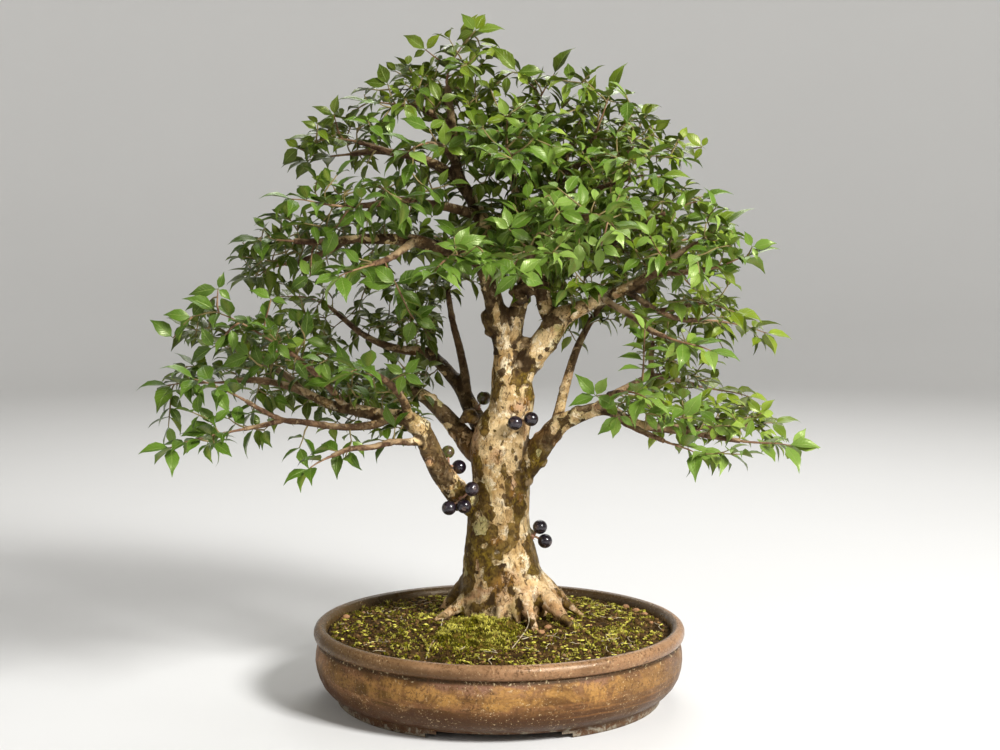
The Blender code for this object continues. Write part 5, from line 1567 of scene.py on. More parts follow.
def spray_leaves(name, points, tip):
    """A spray's own leaves, laid out as in the solids: (base, direction, normal, length)."""
    base = points[-1] * 0.95 + points[-2] * 0.05
    aim = tip + UP * LEAF_SAG * LEAF_LENGTH - base
    leaves = [(base, unit(aim), UP + [0, -0.5, 0], float(np.linalg.norm(aim)))]
    pair = 0
    place = route_length(points) - TWIG_BARE_END
    while place > TWIG_BARE_START:
        base, ahead = along_route(points, place)
        side = unit(np.cross(ahead, UP))
        over = np.cross(side, ahead)
        for hand in (-1, 1):
            draw = random.Random(f"{name} {pair} {hand} 0")
            tilt = draw.uniform(-LEAF_TILT, LEAF_TILT) + (LEAF_PAIR_TURN * hand if pair % 2 else 0)
            spread = math.radians(draw.uniform(*LEAF_SPREAD))
            way = leaf_way(ahead, side, over, hand, tilt, spread, draw.uniform(*LEAF_DROOP))
            roll = np.array([draw.uniform(-LEAF_TILT, LEAF_TILT), draw.uniform(-LEAF_TILT, LEAF_TILT), 1])
            leaves.append((base, way, roll, LEAF_LENGTH * draw.uniform(*LEAF_SIZES)))
        pair += 1
        place -= LEAF_PAIR_SPACING
    return leaves


def shown_leaves(node, tips, draw):
    """The leaves that a table gives by their tips, each with its face to the front."""
    leaves = []
    place = sight(*node)
    for column, row in tips:
        tip = sight(column, row, node[2] + draw.uniform(-9, 7))
        aim = tip + UP * LEAF_SAG * 0.6 * LEAF_LENGTH - place
        normal = np.array([draw.uniform(-0.35, 0.35), -1.0, draw.uniform(0.15, 0.8)])
        leaves.append((place, unit(aim), normal, float(np.linalg.norm(aim))))
    return leaves


def shoot_leaves(points, draw, size):
    """A side shoot's leaves: a young pair at its tip, then pairs going back, each turned from the last."""
    leaves = []
    place = route_length(points) - SHOOT_BARE_END
    pair = 0
    turn = draw.uniform(-0.5, 0.5)
    while place > SHOOT_BARE_START or pair == 0:
        base, ahead = along_route(points, max(place, 0.002))
        side = unit(np.cross(ahead, UP) + 0.001)
        over = np.cross(side, ahead)
        spreads, droops, sizes = YOUNG_PAIR if pair == 0 else GROWN_PAIR
        for hand in (-1, 1):
            tilt = turn + draw.uniform(-0.3, 0.3)
            spread = math.radians(draw.uniform(*spreads))
            way = leaf_way(ahead, side, over, hand, tilt, spread, draw.uniform(*droops))
            wander = np.array([draw.uniform(-0.42, 0.42), draw.uniform(-0.42, 0.42), 1])
            roll = wander + unit(base * [1, 1, 0]) * draw.uniform(0.0, 0.85)
            length = size * LEAF_LENGTH * draw.uniform(*sizes)
            if draw.random() < LEAF_KEPT:
                leaves.append((base, way, roll, length))
        turn += SHOOT_PAIR_TURN if pair % 2 == 0 else -SHOOT_PAIR_TURN
        pair += 1
        place -= draw.uniform(*SHOOT_PAIR_SPACING) * size
    return leaves


def leaf_pattern(columns, stations):
    """The points of one blade, as (share along, share across, whether underneath), and its triangles."""
    points = []
    for station in stations[:-1]:
        points += [(station, column, 0) for column in columns] + [(station, 0.0, 1)]
    points.append((1.0, 0.0, 0))
    wide = len(columns)
    around = wide + 1
    rounds = [(side, (side + 1) % around) for side in range(around)]
    corners = []
    last = (len(stations) - 2) * around
    for start in range(0, last, around):
        for first, second in rounds:
            a, b = start + first, start + second
            corners += [(a, b, b + around), (a, b + around, a + around)]
    corners += [(last + first, last + second, len(points) - 1) for first, second in rounds]
    corners += [(wide, side + 1, side) for side in range(wide - 1)]
    return np.array(points), np.array(corners)


def leaf_skins(leaves, draw, pattern, corners):
    """The points of many blades at once, each folded along its rib, bent down and a little waved."""
    along, across, under = pattern.T
    base, direction, normal = (np.array([leaf[part] for leaf in leaves]) for part in range(3))
    length = np.array([[leaf[3]] for leaf in leaves])
    side = units(np.cross(direction, normal))
    over = np.cross(side, direction)
    each = (len(leaves), 1)
    width = length * LEAF_WIDTH / LEAF_LENGTH / 2 * draw.uniform(0.88, 1.14, each)
    fold = draw.uniform(0.08, 0.48, each)
    sag = draw.uniform(0.06, 0.23, each)
    hook = draw.uniform(0.04, 0.20, each)
    swing = draw.uniform(-0.10, 0.10, each)
    twist = draw.uniform(-0.4, 0.4, each)
    wave = draw.uniform(0.0, 0.055, each)
    phase = draw.uniform(0, math.tau, each)
    beat = draw.uniform(9, 15, each)
    out = np.abs(across)
    half = width * np.interp(along, LEAF_STATIONS, LEAF_HALVES)
    turn = twist * along
    flat = across * half * np.cos(fold)
    lift = out * half * np.sin(fold)
    lift = lift + (np.abs(out - LARGE_LEAF_COLUMNS[3]) < 0.1) * half * 0.08
    lift = lift + wave * half * np.sin(along * beat + phase + np.sign(across)) * out * 2
    lift = lift - under * (0.0003 + 0.0004 * (1 - along))
    late = np.maximum(along - 0.68, 0) / 0.32
    x = along * length * (1 - 0.35 * sag * along)
    y = flat * np.cos(turn) - lift * np.sin(turn) + length * swing * along**2
    z = flat * np.sin(turn) + lift * np.cos(turn) - length * (sag * along**2 + hook * late**2)
    places = base[:, None] + direction[:, None] * x[..., None] + side[:, None] * y[..., None]
    places = places + over[:, None] * z[..., None]
    all_corners = corners[None] + (np.arange(len(leaves)) * len(pattern))[:, None, None]
    values = {"along": along, "across": across, "under": under}
    values = {name: np.tile(value, len(leaves)) for name, value in values.items()}
    return places.reshape(-1, 3), all_corners.reshape(-1, 3), values


def crown_rows():
    """For each step of rows, the outermost columns of the crown."""
    rows = {}
    width, height = CROWN_SPAN
    for row in range(0, height, CROWN_STEP):
        columns = [column for column in range(0, width, CROWN_STEP) if inside(CROWN_OUTLINE, column, row)]
        if columns:
            rows[row // CROWN_STEP] = (min(columns), max(columns))
    return rows


def crown_depth(rows, place):
    """How far the crown reaches to the front and the back at a place's side and height."""
    column, row = pixel_of((place[0], 0, place[2]))
    found = rows.get(int(row) // CROWN_STEP)
    if not found:
        return 0.0
    half = max((found[1] - found[0]) / 2, 1)
    share = 1 - ((column - (found[0] + found[1]) / 2) / half) ** 2
    if share <= 0:
        return 0.0
    return max(CROWN_DEPTH_SHARE * half * 1.08 * MM * math.sqrt(share), CROWN_DEPTH_LEAST)


def seen_in_crown(place):
    column, row = pixel_of(place)
    if not inside(CROWN_OUTLINE, column, row):
        return False
    return not any(inside(gap, column, row) for gap in CROWN_GAPS)


class Wood:
    """The points that a shoot may grow from, with the way that each runs and whose it is."""

    def __init__(self):
        self.places = np.zeros((0, 3))
        self.ways = np.zeros((0, 3))
        self.owners = []

    def add(self, points, owner):
        self.places = np.vstack([self.places, points])
        self.ways = np.vstack([self.ways, units(np.gradient(points, axis=0))])
        self.owners += [owner] * len(points)

    def nearest(self, place):
        """The number of the point that it takes the least bending to grow from, and its distance."""
        reach = place - self.places
        distance = np.linalg.norm(reach, axis=1)
        forward = (reach * self.ways).sum(1) / np.maximum(distance, 1e-6)
        best = int(np.argmin(distance * (1.45 - 0.45 * forward)))
        return best, float(distance[best])

    def shoot(self, number, target, rise):
        """A shoot that leaves a point of the wood forwards and bends up to its target."""
        start = self.places[number]
        distance = np.linalg.norm(target - start)
        reach = unit(target - start)
        leave = start + unit(reach + self.ways[number] * 0.55) * distance * 0.35
        arrive = target - unit(reach + UP * rise) * distance * 0.30
        return bezier(start, leave, arrive, target, np.linspace(0, 1, max(4, round(distance / 0.008))))


def hides_shown(place):
    """Whether a place would stand in front of the leaves that the table gives."""
    column, row = pixel_of(place)
    for (middle, level, depth), _ in SHOWN_LEAVES:
        near = math.hypot(column - middle, row - level) < SHOWN_ROOM
        if near and place[1] < (depth + SHOWN_BEHIND) * MM:
            return True
    return False


def shown_path(smooth):
    """The pixels and depths of the limbs that show through the leaves."""
    paths = []
    for name, (start, end) in SHOWN_LIMBS.items():
        points = smooth[name][0]
        points = points[int(len(points) * start):math.ceil(len(points) * end)]
        column, row = pixel_of(points.T)
        paths.append(np.column_stack([column, row, points[:, 1]]))
    return np.vstack(paths)


def hides_limb(path, place):
    """Whether a place is in front of a limb that shows through the leaves."""
    column, row = pixel_of(place)
    near = np.hypot(path[:, 0] - column, path[:, 1] - row) < SHOWN_LIMB_ROOM
    return bool((near & (path[:, 2] > place[1])).any())


def shoot_targets(smooth, sprays, wood):
    """Places for the side shoots' tips: near the limbs' outer parts, inside the crown, evenly apart."""
    draw = random.Random(TARGET_SEED)
    rows = crown_rows()
    path = shown_path(smooth)
    sources = []
    for name, points in sprays.items():
        route = smooth[name][0]
        sources.append(np.vstack([route[int(len(route) * BARE_LIMB):], points]))
    weights = [len(points) ** 0.8 for points in sources]
    kept = np.zeros((0, 3))
    for _ in range(SHOOT_TRIES):
        points = draw.choices(sources, weights)[0]
        turn = draw.uniform(0, math.tau)
        away = draw.uniform(*SHOOT_AWAY)
        lift = draw.uniform(*SHOOT_LIFT)
        place = points[draw.randrange(len(points))] + [away * math.cos(turn), away * math.sin(turn), lift]
        if abs(place[1]) > crown_depth(rows, place) or not seen_in_crown(place):
            continue
        if len(kept) and np.linalg.norm(kept - place, axis=1).min() < SHOOT_ROOM:
            continue
        if hides_shown(place) or hides_limb(path, place):
            continue
        number, distance = wood.nearest(place)
        if not SHOOT_REACH[0] < distance < SHOOT_REACH[1]:
            continue
        end = place + unit(place - wood.places[number]) * LEAF_REACH
        if not seen_in_crown(end) or hides_limb(path, end):
            continue
        kept = np.vstack([kept, place])
        if len(kept) >= SHOOTS:
            break
    return kept


def grow(smooth):
    """Every twig of the crown as {limb: [(points, base radius, leaves)]}."""
    draw = random.Random(SHOOT_SEED)
    wood = Wood()
    sprays = {}
    grown = {}
    for name, (points, _) in smooth.items():
        _, tip, rows = LIMBS[name]
        if not tip:
            continue
        heading = unit(sight(*rows[-1][:3]) - sight(*rows[-2][:3]))
        route = twig_route(points[-1], heading, sight(*tip))
        twig = smooth_line(route, ROUTE_STEP)
        sprays[name] = route
        wood.add(points[int(len(points) * 0.25):], name)
        wood.add(twig, name)
        grown[name] = [[twig, SPRAY_TWIG_RADIUS, spray_leaves(name, route, sight(*tip))]]
    for node, tips in SHOWN_LEAVES:
        number, distance = wood.nearest(sight(*node))
        points = wood.shoot(number, sight(*node), draw.uniform(-0.1, 0.3))
        leaves = shown_leaves(node, tips, draw)
        if distance > 0.03:
            leaves += shoot_leaves(points[:-2], draw, 0.85)
        owner = wood.owners[number]
        grown[owner].append([points, 0.0010 + 0.004 * distance, leaves])
        wood.add(points[2:], owner)
    targets = shoot_targets(smooth, sprays, wood)
    distances = [wood.nearest(target)[1] for target in targets]
    for target in targets[np.argsort(distances)]:
        number, distance = wood.nearest(target)
        if distance < SHOOT_REACH[0] * 0.7:
            continue
        owner = wood.owners[number]
        points = wood.shoot(number, target, draw.uniform(-0.10, 0.45))
        wood.add(points[2:], owner)
        size = draw.uniform(0.70, 0.91) + (0.10 if target[1] < -0.05 else 0.0)
        grown[owner].append([points, 0.0008 + 0.006 * distance, shoot_leaves(points, draw, size)])
    return grown


def add_leaves(heap, leaves, large, draw):
    """Blades in a heap: paler towards the crown's outside, paler to the right and front as painted light,
    and cooler at the front.
    """
    if not leaves:
        return
    pattern, corners = leaf_pattern(LARGE_LEAF_COLUMNS if large else SMALL_LEAF_COLUMNS, LEAF_STATIONS)
    places, corners, values = leaf_skins(leaves, draw, pattern, corners)
    bases = np.array([item[0] for item in leaves])
    outward = np.linalg.norm((bases - CROWN_MIDDLE) / CROWN_HALF_SIZE, axis=1)
    young = np.array([item[3] for item in leaves]) < LEAF_LENGTH * 0.70
    right = bases[:, 0] / CROWN_HALF_SIZE[0]
    front = np.clip(-bases[:, 1] / 0.15, 0, 1)
    # The right and front terms are painted light: leaves on the lit front right are made paler
    tone = 0.12 + 0.32 * (outward - 0.45) + 0.30 * right + 0.27 * front + 0.13 * young
    tone = np.clip(tone + draw.normal(0, 0.15, len(leaves)), 0, 1)
    cool = np.clip(0.20 - bases[:, 1] / 0.10 + draw.normal(0, 0.25, len(leaves)) - 0.3 * young, 0, 1)
    count = len(pattern)
    heap.add(places, corners, tone=np.repeat(tone, count), cool=np.repeat(cool, count), **values)


def make_foliage(grown, leaf, twig):
    """One piece for each limb's twigs and leaves."""
    pieces = []
    draw = np.random.default_rng(LEAF_SEED)
    for name, twigs in grown.items():
        heap = Heap()
        leaves = [item for _, _, listed in twigs for item in listed]
        for points, radius, _ in twigs:
            radii = np.linspace(radius, TWIG_TIP_RADIUS, len(points))
            radii[1::3] *= TWIG_NODE_SWELL
            tone = 0.25 + 0.5 * (radius < GREEN_TWIG_RADIUS)
            heap.add(*tube(points, radii, TWIG_SIDES), finish=1, tone=tone)
        for large in (True, False):
            add_leaves(heap, [item for item in leaves if (item[3] > SMALL_LEAF) == large], large, draw)
        piece = heap.piece("foliage_" + name, [leaf, twig])
        piece.data.set_sharp_from_angle(angle=math.radians(LEAF_EDGE_ANGLE))
        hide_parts("spray_" + name)
        pieces.append(piece)
    return pieces


def berry_centres(name, bark):
    """Where a bunch's berries hang, clear of the bark, as in the solids."""
    radius = BERRY_RADIUS * MM
    centres = []
    for spot in BERRIES[name]:
        centre = Vector(sight(*spot))
        for _ in range(BERRY_TRIES):
            place = bark.find_nearest(centre)[0]
            if (place - centre).length >= radius + BERRY_CLEARANCE * MM:
                break
            centre = centre + (centre - place).normalized() * MM / 2
        centres.append(centre)
    return centres


def add_spur(heap, foot, normal):
    """A bunch's short spur, with scales round its foot."""
    stem = [foot - normal * 0.001, foot + normal * 0.002, foot + normal * SPUR_LENGTH]
    heap.add(*tube(stem, [0.0031, 0.0027, 0.0018], 10), finish=1)
    side = normal.orthogonal().normalized()
    for index in range(SPUR_SCALES):
        turn = math.tau * index / SPUR_SCALES
        way = side * math.cos(turn) + normal.cross(side) * math.sin(turn)
        start = foot + normal * 0.0012 + way * 0.0022
        heap.add(*tube([start, start + way * 0.0018 + normal * 0.0022], [0.0009, 0.0003], 5), finish=1)


def add_berry(heap, foot, normal, centre, tone, draw):
    """A berry on its stalk, with a ring-shaped scar round the dent at its end."""
    start = foot + normal * 0.0026
    away = (centre - start).normalized()
    near = centre - away * (BERRY_RADIUS * MM - 0.0004)
    bend = start.lerp(near, 0.5) + normal * 0.0006
    heap.add(*tube([start, bend, near], [0.0015, 0.0011, 0.0014], 8), finish=1)
    places, corners = ball((0, 0, 0), (1, 1, 1), 32, 20)
    size = BERRY_RADIUS * MM * (UNRIPE_SIZE if tone == 1.0 else 1.0)
    axis = unit(np.array(away) * 0.5 + np.array([draw.uniform(-1, 1), -0.9, draw.uniform(-0.6, 0.8)]))
    facing = places @ axis
    dent = np.exp(-((1 - facing) / 0.020)) * 0.11
    rim = np.exp(-(((1 - facing) - 0.030) / 0.012) ** 2)
    scaled = places * (size * (1 - dent + 0.035 * rim))[:, None] * [1, 1, 0.985]
    scar = np.clip(rim * 0.55 + (facing > 0.985) * 0.35, 0, 1)
    heap.add(scaled + np.array(centre), corners, tone=tone, scar=scar)


def make_berries(bark, skin, stalk):
    """Each bunch on its spur, on the solids' own wood."""
    pieces = []
    draw = random.Random(BERRY_SEED)
    for name in BERRIES:
        centres = berry_centres(name, bark)
        heap = Heap()
        foot, normal = bark.find_nearest(sum(centres, Vector()) / len(centres))[:2]
        add_spur(heap, foot, normal)
        for centre, tone in zip(centres, UNRIPE.get(name, (0.0,) * len(centres))):
            add_berry(heap, foot, normal, centre, tone, draw)
        piece = heap.piece(name + "_ripe", [skin, stalk])
        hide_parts(name)
        pieces.append(piece)
    return pieces


def pot_ring(radius, height):
    """A ring of the pot, uneven as thrown where it is wide, and with lines from the wheel on the belly."""
    if radius > THROWN_RADIUS and height > THROWN_HEIGHT:
        turns = np.arange(POT_CORNERS) * math.tau / POT_CORNERS
        ways = [Vector((math.cos(turn) * 1.3, math.sin(turn) * 1.3, height * 0.05)) for turn in turns]
        on_belly = BELLY_HEIGHTS[0] < height < BELLY_HEIGHTS[1] and radius > BELLY_RADIUS
        line = 0.25 * math.sin(height * 0.9) if on_belly else 0.0
        radius = radius + np.array([noise.noise(way) for way in ways]) * 0.7 + line
    return ring(radius * MM, height * MM, POT_CORNERS, POT_CENTRE_X)


def make_pot(glaze):
    """The thrown bowl, a little uneven, with its foot band cut open at the front and the back."""
    rings = [pot_ring(radius, height) for radius, height in POT_PROFILE]
    places = np.vstack([*rings, [[POT_CENTRE_X, 0, FOOT_HEIGHT], [POT_CENTRE_X, 0, FLOOR_HEIGHT]]])
    heap = Heap()
    heap.add(places, ring_faces(len(rings), POT_CORNERS, 0, len(places) - 2, len(places) - 1))
    pot = heap.piece("glazed_pot", [glaze])
    gaps = ((FOOT_GAP_HALF_WIDTH, FOOT_HEIGHT - 0.0002), (FOOT_STEP_HALF_WIDTH, FOOT_STEP_HEIGHT))
    for half_width, height in gaps:
        low = (POT_CENTRE_X - half_width, -BEYOND_POT, -BELOW_POT)
        cut(pot, box(low, (POT_CENTRE_X + half_width, BEYOND_POT, height)))
    for x in DRAIN_PLACES:
        drain = Heap()
        ends = [(POT_CENTRE_X + x, 0, FOOT_HEIGHT / 2), (POT_CENTRE_X + x, 0, FLOOR_HEIGHT * 2)]
        drain.add(*tube(ends, [DRAIN_RADIUS, DRAIN_RADIUS], 24))
        cut(pot, drain.piece("cutter", [], smooth=False))
    pot.data.shade_smooth()
    pot.data.set_sharp_from_angle(angle=math.radians(POT_EDGE_ANGLE))
    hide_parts("pot")
    return pot


def soil_height(x, y):
    outward = math.hypot(x - POT_CENTRE_X, y) / SOIL_RADIUS
    return SOIL_EDGE_HEIGHT + SOIL_MOUND_HEIGHT * max(0, 1 - outward**2) ** 1.5


def soil_top(x, y):
    """The height of the rough ground."""
    rough = 0.0010 * noise.noise(Vector((x, y, 0)) * 90) + 0.0008 * noise.noise(Vector((x, y, 3)) * 260)
    return soil_height(x, y) + rough + 0.0018 * noise.noise(Vector((x, y, 7)) * 22)


def ground_at(column, row):
    """The place on the soil that is seen at a pixel, or the nearest to it at the soil's edge."""
    place = sight(column, row, 0)
    slope = math.tan(VIEW_DIP + (row - VIEW_MIDDLE_ROW) / VIEW_FOCAL_PIXELS)
    for _ in range(GROUND_TRIES):
        high = place[2] - soil_height(place[0], place[1])
        place = sight(column, row, (place[1] + high / slope) / MM)
    out = math.hypot(place[0] - POT_CENTRE_X, place[1]) / SOIL_RADIUS
    share = min(1, SOIL_COVERED / out)
    x, y = POT_CENTRE_X + (place[0] - POT_CENTRE_X) * share, place[1] * share
    return np.array([x, y, soil_top(x, y)])


def random_ground(draw):
    turn = draw.uniform(0, math.tau)
    radius = SOIL_RADIUS * 0.985 * math.sqrt(draw.random())
    return POT_CENTRE_X + radius * math.cos(turn), radius * math.sin(turn)


def near_mound(x, y):
    """How far a place is from the middle of the moss cushion, where 1 is its edge."""
    return math.hypot((x - MOSS_CENTRE[0]) / MOSS_HALF_SIZE[0], (y - MOSS_CENTRE[1]) / MOSS_HALF_SIZE[1])


def on_wood(bark, x, y, z, room):
    place = bark.find_nearest(Vector((x, y, z)))[0]
    return (place - Vector((x, y, z))).length < room


def blade_tuft(heap, place, draw, count, height, width, lean, tone):
    """A tuft of thin pointed blades."""
    for _ in range(count):
        turn = draw.uniform(0, math.tau)
        bend = draw.uniform(0.25, 1) * lean
        way = np.array([math.cos(turn) * bend, math.sin(turn) * bend, 1])
        tall = height * draw.uniform(0.6, 1.25)
        tip = place + unit(way) * tall - UP * tall * 0.10 * bend
        middle = place + unit(way + UP * 0.6) * tall * 0.55
        side = np.array([-math.sin(turn), math.cos(turn), 0]) * width
        out = np.array([math.cos(turn), math.sin(turn), 0]) * width * 0.6
        root = place - UP * 0.0015
        points = [root - side * 0.6, root + side * 0.6, root + out]
        points += [middle - side, middle + side, middle + out, tip]
        heap.add(points, BLADE_FACES, tone=np.clip(tone + draw.uniform(-0.15, 0.15), 0, 1))


def make_soil(soil):
    """The rough top of the soil with its grains, down to the pot's floor."""
    heap = Heap()
    draw = random.Random(SOIL_SEED)
    places = [[(POT_CENTRE_X, 0, soil_height(POT_CENTRE_X, 0))]]
    for step in range(1, SOIL_RINGS + 1):
        level = ring(SOIL_RADIUS * step / SOIL_RINGS, 0, SOIL_SIDES, POT_CENTRE_X)
        level[:, 2] = [soil_top(x, y) for x, y, _ in level]
        places.append(level)
    places += [ring(radius, height, SOIL_SIDES, POT_CENTRE_X) for radius, height in SOIL_FOOT]
    places = np.vstack([*places, [(POT_CENTRE_X, 0, SOIL_FOOT[-1][1])]])
    rings = SOIL_RINGS + len(SOIL_FOOT)
    heap.add(places, ring_faces(rings, SOIL_SIDES, 1, 0, len(places) - 1, flip=True), tone=0.0)
    for _ in range(SOIL_GRAINS):
        x, y = random_ground(draw)
        size = draw.uniform(0.0009, 0.0027)
        sizes = (size, size * draw.uniform(0.6, 1), size * draw.uniform(0.5, 0.9))
        grain, faces = ball((x, y, soil_top(x, y) + size * 0.15), sizes, 5, 3)
        heap.add(ragged(grain, draw, size * 0.22), faces, tone=draw.random() ** 2)
    piece = heap.piece("potting_soil", [soil])
    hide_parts("soil")
    return piece


def add_moss_tufts(heap, bark, draw):
    """Moss in patches over the soil, thicker beside the cushion and at the front, and darker on the left as
    painted shade.
    """
    made = 0
    while made < MOSS_TUFTS:
        x, y = random_ground(draw)
        beside = math.exp(-(max(near_mound(x, y) - 1, 0) / 0.45) ** 2)
        thick = noise.noise(Vector((x, y, 1)) * 24) + 0.5 * noise.noise(Vector((x, y, 4)) * 70)
        thick += 0.55 * beside
        front = 0.22 if y < -0.03 else 0.12
        if thick + front + draw.uniform(-0.35, 0.35) < 0.0 or near_mound(x, y) < 0.86:
            continue
        z = soil_top(x, y)
        if on_wood(bark, x, y, z, 0.0015):
            continue
        made += 1
        # Tufts on the left are darkened as painted shade on the side away from the light
        left = max(POT_CENTRE_X - x, 0) / SOIL_RADIUS
        tone = min(max(0.48 + thick * 0.5 - 0.30 * left + draw.uniform(-0.42, 0.42), 0.0), 1)
        tall = draw.uniform(0.0022, 0.0046)
        if draw.random() < 0.25 + 0.2 * beside:
            tall += 0.004 * draw.random()
        blade_tuft(heap, np.array([x, y, z]), draw, draw.choice((3, 4, 4, 5)), tall, 0.00050, 2.7, tone)
    for column, row, height in LONG_TUFTS:
        blade_tuft(heap, ground_at(column, row), draw, 6, height, 0.00055, 1.0, 0.85)


def add_creeping_stems(heap, draw):
    """The green stems that the photo shows."""
    for route in CREEPING_STEMS:
        points = smooth_line([ground_at(*spot) + UP * 0.0010 for spot in route], 0.0022)
        heap.add(*tube(points, np.full(len(points), 0.00035), 4), tone=0.75)
        for place in points:
            tall = draw.uniform(0.0022, 0.0040)
            blade_tuft(heap, place, draw, 3, tall, 0.00055, 2.2, draw.uniform(0.6, 1))


def add_lobed_growths(heap, draw):
    """Small growths of a few flat tilted lobes."""
    for _ in range(LOBED_GROWTHS):
        x, y = random_ground(draw)
        if near_mound(x, y) < 1:
            continue
        z = soil_top(x, y) + 0.0008
        for _ in range(draw.choice((2, 3, 4))):
            turn = draw.uniform(0, math.tau)
            size = draw.uniform(0.0014, 0.0028)
            centre = (x + math.cos(turn) * size, y + math.sin(turn) * size, z + draw.uniform(0, 0.0016))
            lobe, faces = ball((0, 0, 0), (size, size * 0.75, 0.00035), 8, 4)
            tilt = draw.uniform(-0.6, 0.6)
            turned = np.array([
                [math.cos(turn), math.sin(turn), 0],
                [-math.sin(turn), math.cos(turn), tilt * 0.5],
                [tilt, 0, 1],
            ])
            heap.add(lobe @ turned + centre, faces, tone=draw.uniform(0.6, 1))


def trailing_stem(x, y, draw):
    """Places along a stem that creeps over the soil, with a tone for the leaves at each."""
    turn = draw.uniform(0, math.tau)
    tone = draw.uniform(0.45, 1.0)
    stem = []
    for _ in range(draw.randrange(5, 12)):
        if math.hypot(x - POT_CENTRE_X, y) > SOIL_RADIUS * SOIL_COVERED:
            break
        rise = 0.0004 + 0.0022 * math.sin(len(stem) * 0.7) ** 2
        stem.append((np.array([x, y, soil_top(x, y) + rise]), tone + draw.uniform(-0.1, 0.1)))
        turn += draw.uniform(-0.6, 0.6)
        x += math.cos(turn) * 0.0019
        y += math.sin(turn) * 0.0019
    return stem


def add_trailing_stems(heap, bark, draw):
    """Small leaves along stems that creep at random."""
    for _ in range(TRAILING_STEMS):
        x, y = random_ground(draw)
        if near_mound(x, y) < 0.9 or on_wood(bark, x, y, soil_top(x, y), 0.006):
            continue
        for place, tone in trailing_stem(x, y, draw):
            blade_tuft(heap, place, draw, 3, draw.uniform(0.0020, 0.0036), 0.00048, 2.6, tone)


def add_fine_roots(heap, bark, draw):
    """Thin pale roots: those that the photo shows, and stray ones."""
    for route in FINE_ROOTS:
        points = [sight(*spot) if len(spot) == 3 else ground_at(*spot) + UP * 0.0012 for spot in route]
        points, radii = smooth_route(points, [0.0007] + [0.00052] * (len(points) - 1), 0.003)
        heap.add(*tube(points, radii, 6), finish=1)
    for _ in range(STRAY_ROOTS):
        x, y = random_ground(draw)
        if on_wood(bark, x, y, soil_top(x, y), 0.004):
            continue
        turn = draw.uniform(0, math.tau)
        points = []
        for _ in range(draw.randrange(5, 11)):
            points.append((x, y, soil_top(x, y) + 0.0006 + draw.uniform(0, 0.0016)))
            turn += draw.uniform(-0.8, 0.8)
            x += math.cos(turn) * 0.0034
            y += math.sin(turn) * 0.0034
            if math.hypot(x - POT_CENTRE_X, y) > SOIL_RADIUS * 0.97:
                break
        if len(points) > 2:
            heap.add(*tube(points, np.full(len(points), draw.uniform(0.0002, 0.00042)), 5), finish=1)


def add_stones(heap, draw):
    """Grit, and larger crumbs of fired clay."""
    for _ in range(GRIT):
        x, y = random_ground(draw)
        size = draw.uniform(0.0012, 0.0026)
        centre = Vector((x, y, soil_top(x, y) + size * 0.3))
        rock, faces = ball(centre, (size, size * 0.8, size * 0.7), 9, 6)
        heap.add(ragged(rock, draw, size * 0.14), faces, tone=draw.random())
    for spot in CLAY_CRUMBS:
        rock, faces = ball(ground_at(*spot) + UP * 0.0012, CLAY_CRUMB_HALF_SIZE, 12, 8)
        heap.add(ragged(rock, draw, 0.00035), faces, tone=0.75)


def make_cover(bark, moss, stone, pale):
    """What grows and lies on the soil, in two pieces: the green growth, and the fine roots and stones."""
    draw = random.Random(COVER_SEED)
    sprigs = Heap()
    add_moss_tufts(sprigs, bark, draw)
    add_creeping_stems(sprigs, draw)
    add_lobed_growths(sprigs, draw)
    add_trailing_stems(sprigs, bark, draw)
    sprigs_piece = sprigs.piece("moss_sprigs", [moss])
    bits = Heap()
    add_fine_roots(bits, bark, draw)
    add_stones(bits, draw)
    bits_piece = bits.piece("grit_and_fine_roots", [stone, pale])
    return [sprigs_piece, bits_piece]


def mound_edge(turn):
    """How far the moss cushion reaches in a direction, where 1 is its even outline."""
    way = Vector((math.cos(turn), math.sin(turn), 2))
    return 1.02 + 0.30 * noise.noise(way * 1.7) + 0.20 * noise.noise(way * 5)


def make_mound(moss):
    """The moss cushion, a low uneven dome that lies on the ground, set all over with short blades."""
    heap = Heap()
    draw = random.Random(CUSHION_SEED)
    body, faces = ball((0, 0, 0), (1, 1, 1), 72, 24)
    across, along, tall = MOSS_HALF_SIZE
    laid = []
    for point in body:
        spot = Vector(point)
        reach = mound_edge(math.atan2(spot.y, spot.x))
        x, y = MOSS_CENTRE[0] + spot.x * across * reach, MOSS_CENTRE[1] + spot.y * along * reach
        lumps = 1 + 0.55 * noise.noise(spot * 3.1) + 0.38 * noise.noise(spot * 7)
        lumps += 0.20 * noise.noise(spot * 15)
        rise = tall * max(spot.z, 0) ** 1.25 * 0.92 * lumps if spot.z > 0 else 0.004 * spot.z
        laid.append((x, y, soil_top(x, y) - 0.0012 + rise))
    laid = np.array(laid)
    heap.add(laid, faces, tone=0.0)
    for _ in range(CUSHION_TUFTS):
        index = draw.randrange(1, len(body) // 2 + 40)
        place = laid[index] + [draw.uniform(-0.0024, 0.0024), draw.uniform(-0.0024, 0.0024), 0]
        clump = noise.noise(Vector(place) * 60) + 0.6 * noise.noise(Vector(place) * 160)
        tone = 0.50 + 0.60 * clump + 0.26 * body[index][2]
        tone = min(max(tone + draw.uniform(-0.18, 0.28), 0.0), 1)
        height = draw.uniform(0.0018, 0.0040) * (1 + 0.7 * clump)
        blade_tuft(heap, place, draw, 2, height, 0.00050, 2.4, tone)
    piece = heap.piece("moss_cushion", [moss])
    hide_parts("moss_mound")
    return piece


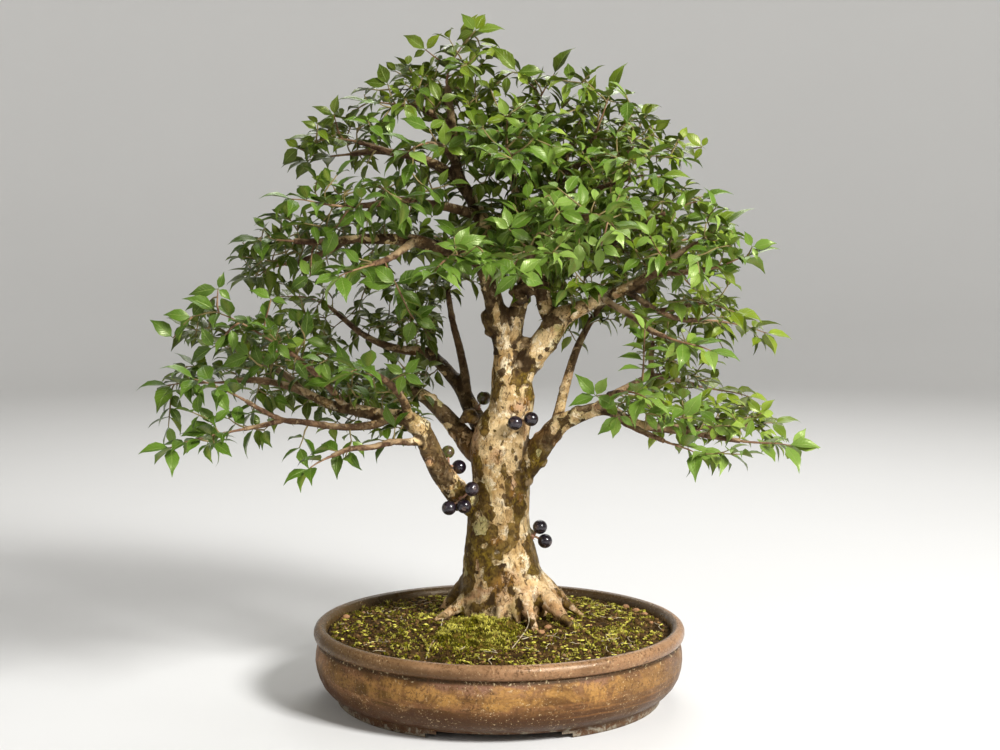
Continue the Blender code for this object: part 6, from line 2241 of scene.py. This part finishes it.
def place_in_scene(name, data, place, turned):
    """A lamp or a camera in the scene."""
    thing = bpy.data.objects.new(name, data)
    thing.location = place
    thing.rotation_euler = turned
    bpy.context.scene.collection.objects.link(thing)
    return thing


def make_floor():
    """A round floor whose edge curves up into a wall."""
    profile = [(STAGE_RADIUS * share, 0.0) for share in (0.25, 0.6, 1.0)]
    for step in range(1, STAGE_STEPS + 1):
        turn = math.pi / 2 * step / STAGE_STEPS
        profile.append((STAGE_RADIUS + STAGE_CURVE * math.sin(turn), STAGE_CURVE * (1 - math.cos(turn))))
    profile.append((STAGE_RADIUS + STAGE_CURVE, STAGE_HEIGHT))
    rings = [ring(radius, height, STAGE_SIDES) for radius, height in profile]
    heap = Heap()
    heap.add(np.vstack([[[0, 0, 0]], *rings]), ring_faces(len(rings), STAGE_SIDES, 1, 0, flip=True))
    floor = heap.piece("floor", [floor_finish()])


def make_light():
    """A faint warm sky and three soft lamps."""
    scene = bpy.context.scene
    scene.world = bpy.data.worlds.new("studio")
    scene.world.use_nodes = True
    sky = scene.world.node_tree.nodes["Background"]
    sky.inputs[0].default_value = SKY_COLOUR
    sky.inputs[1].default_value = SKY_STRENGTH
    scene.view_settings.view_transform = "Standard"
    for name, place, size, power in LAMPS:
        lamp = bpy.data.lights.new(name, "AREA")
        lamp.energy = power
        lamp.size = size
        aim = Vector(LAMP_TARGET) - Vector(place)
        place_in_scene(name, lamp, place, aim.to_track_quat("-Z", "Y").to_euler())


def make_camera():
    """The camera at the photo's viewing angle."""
    data = bpy.data.cameras.new("camera")
    data.sensor_width = SENSOR_WIDTH
    data.lens = SENSOR_WIDTH * VIEW_FOCAL_PIXELS / PICTURE_WIDTH
    place = (VIEW_SIDE, -VIEW_DISTANCE, VIEW_HEIGHT)
    bpy.context.scene.camera = place_in_scene("camera", data, place, (math.radians(90) - VIEW_DIP, 0, 0))


def main():
    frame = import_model()
    make_floor()
    make_light()
    make_camera()
    bark_solid = surface(frame["nodes"]["trunk"])
    smooth = {name: smooth_route(*route, ROUTE_STEP) for name, route in limb_routes().items()}
    moss = moss_finish()
    pieces = make_wood(smooth, bark_finish())
    pieces += make_foliage(grow(smooth), leaf_finish(), twig_finish())
    pieces += make_berries(bark_solid, berry_finish(), stalk_finish())
    pieces.append(make_pot(glaze_finish()))
    pieces.append(make_soil(soil_finish()))
    pieces += make_cover(surface(pieces[0]), moss, stone_finish(), root_hair_finish())
    pieces.append(make_mound(moss))
    for piece in pieces:
        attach(piece, "root")


main()
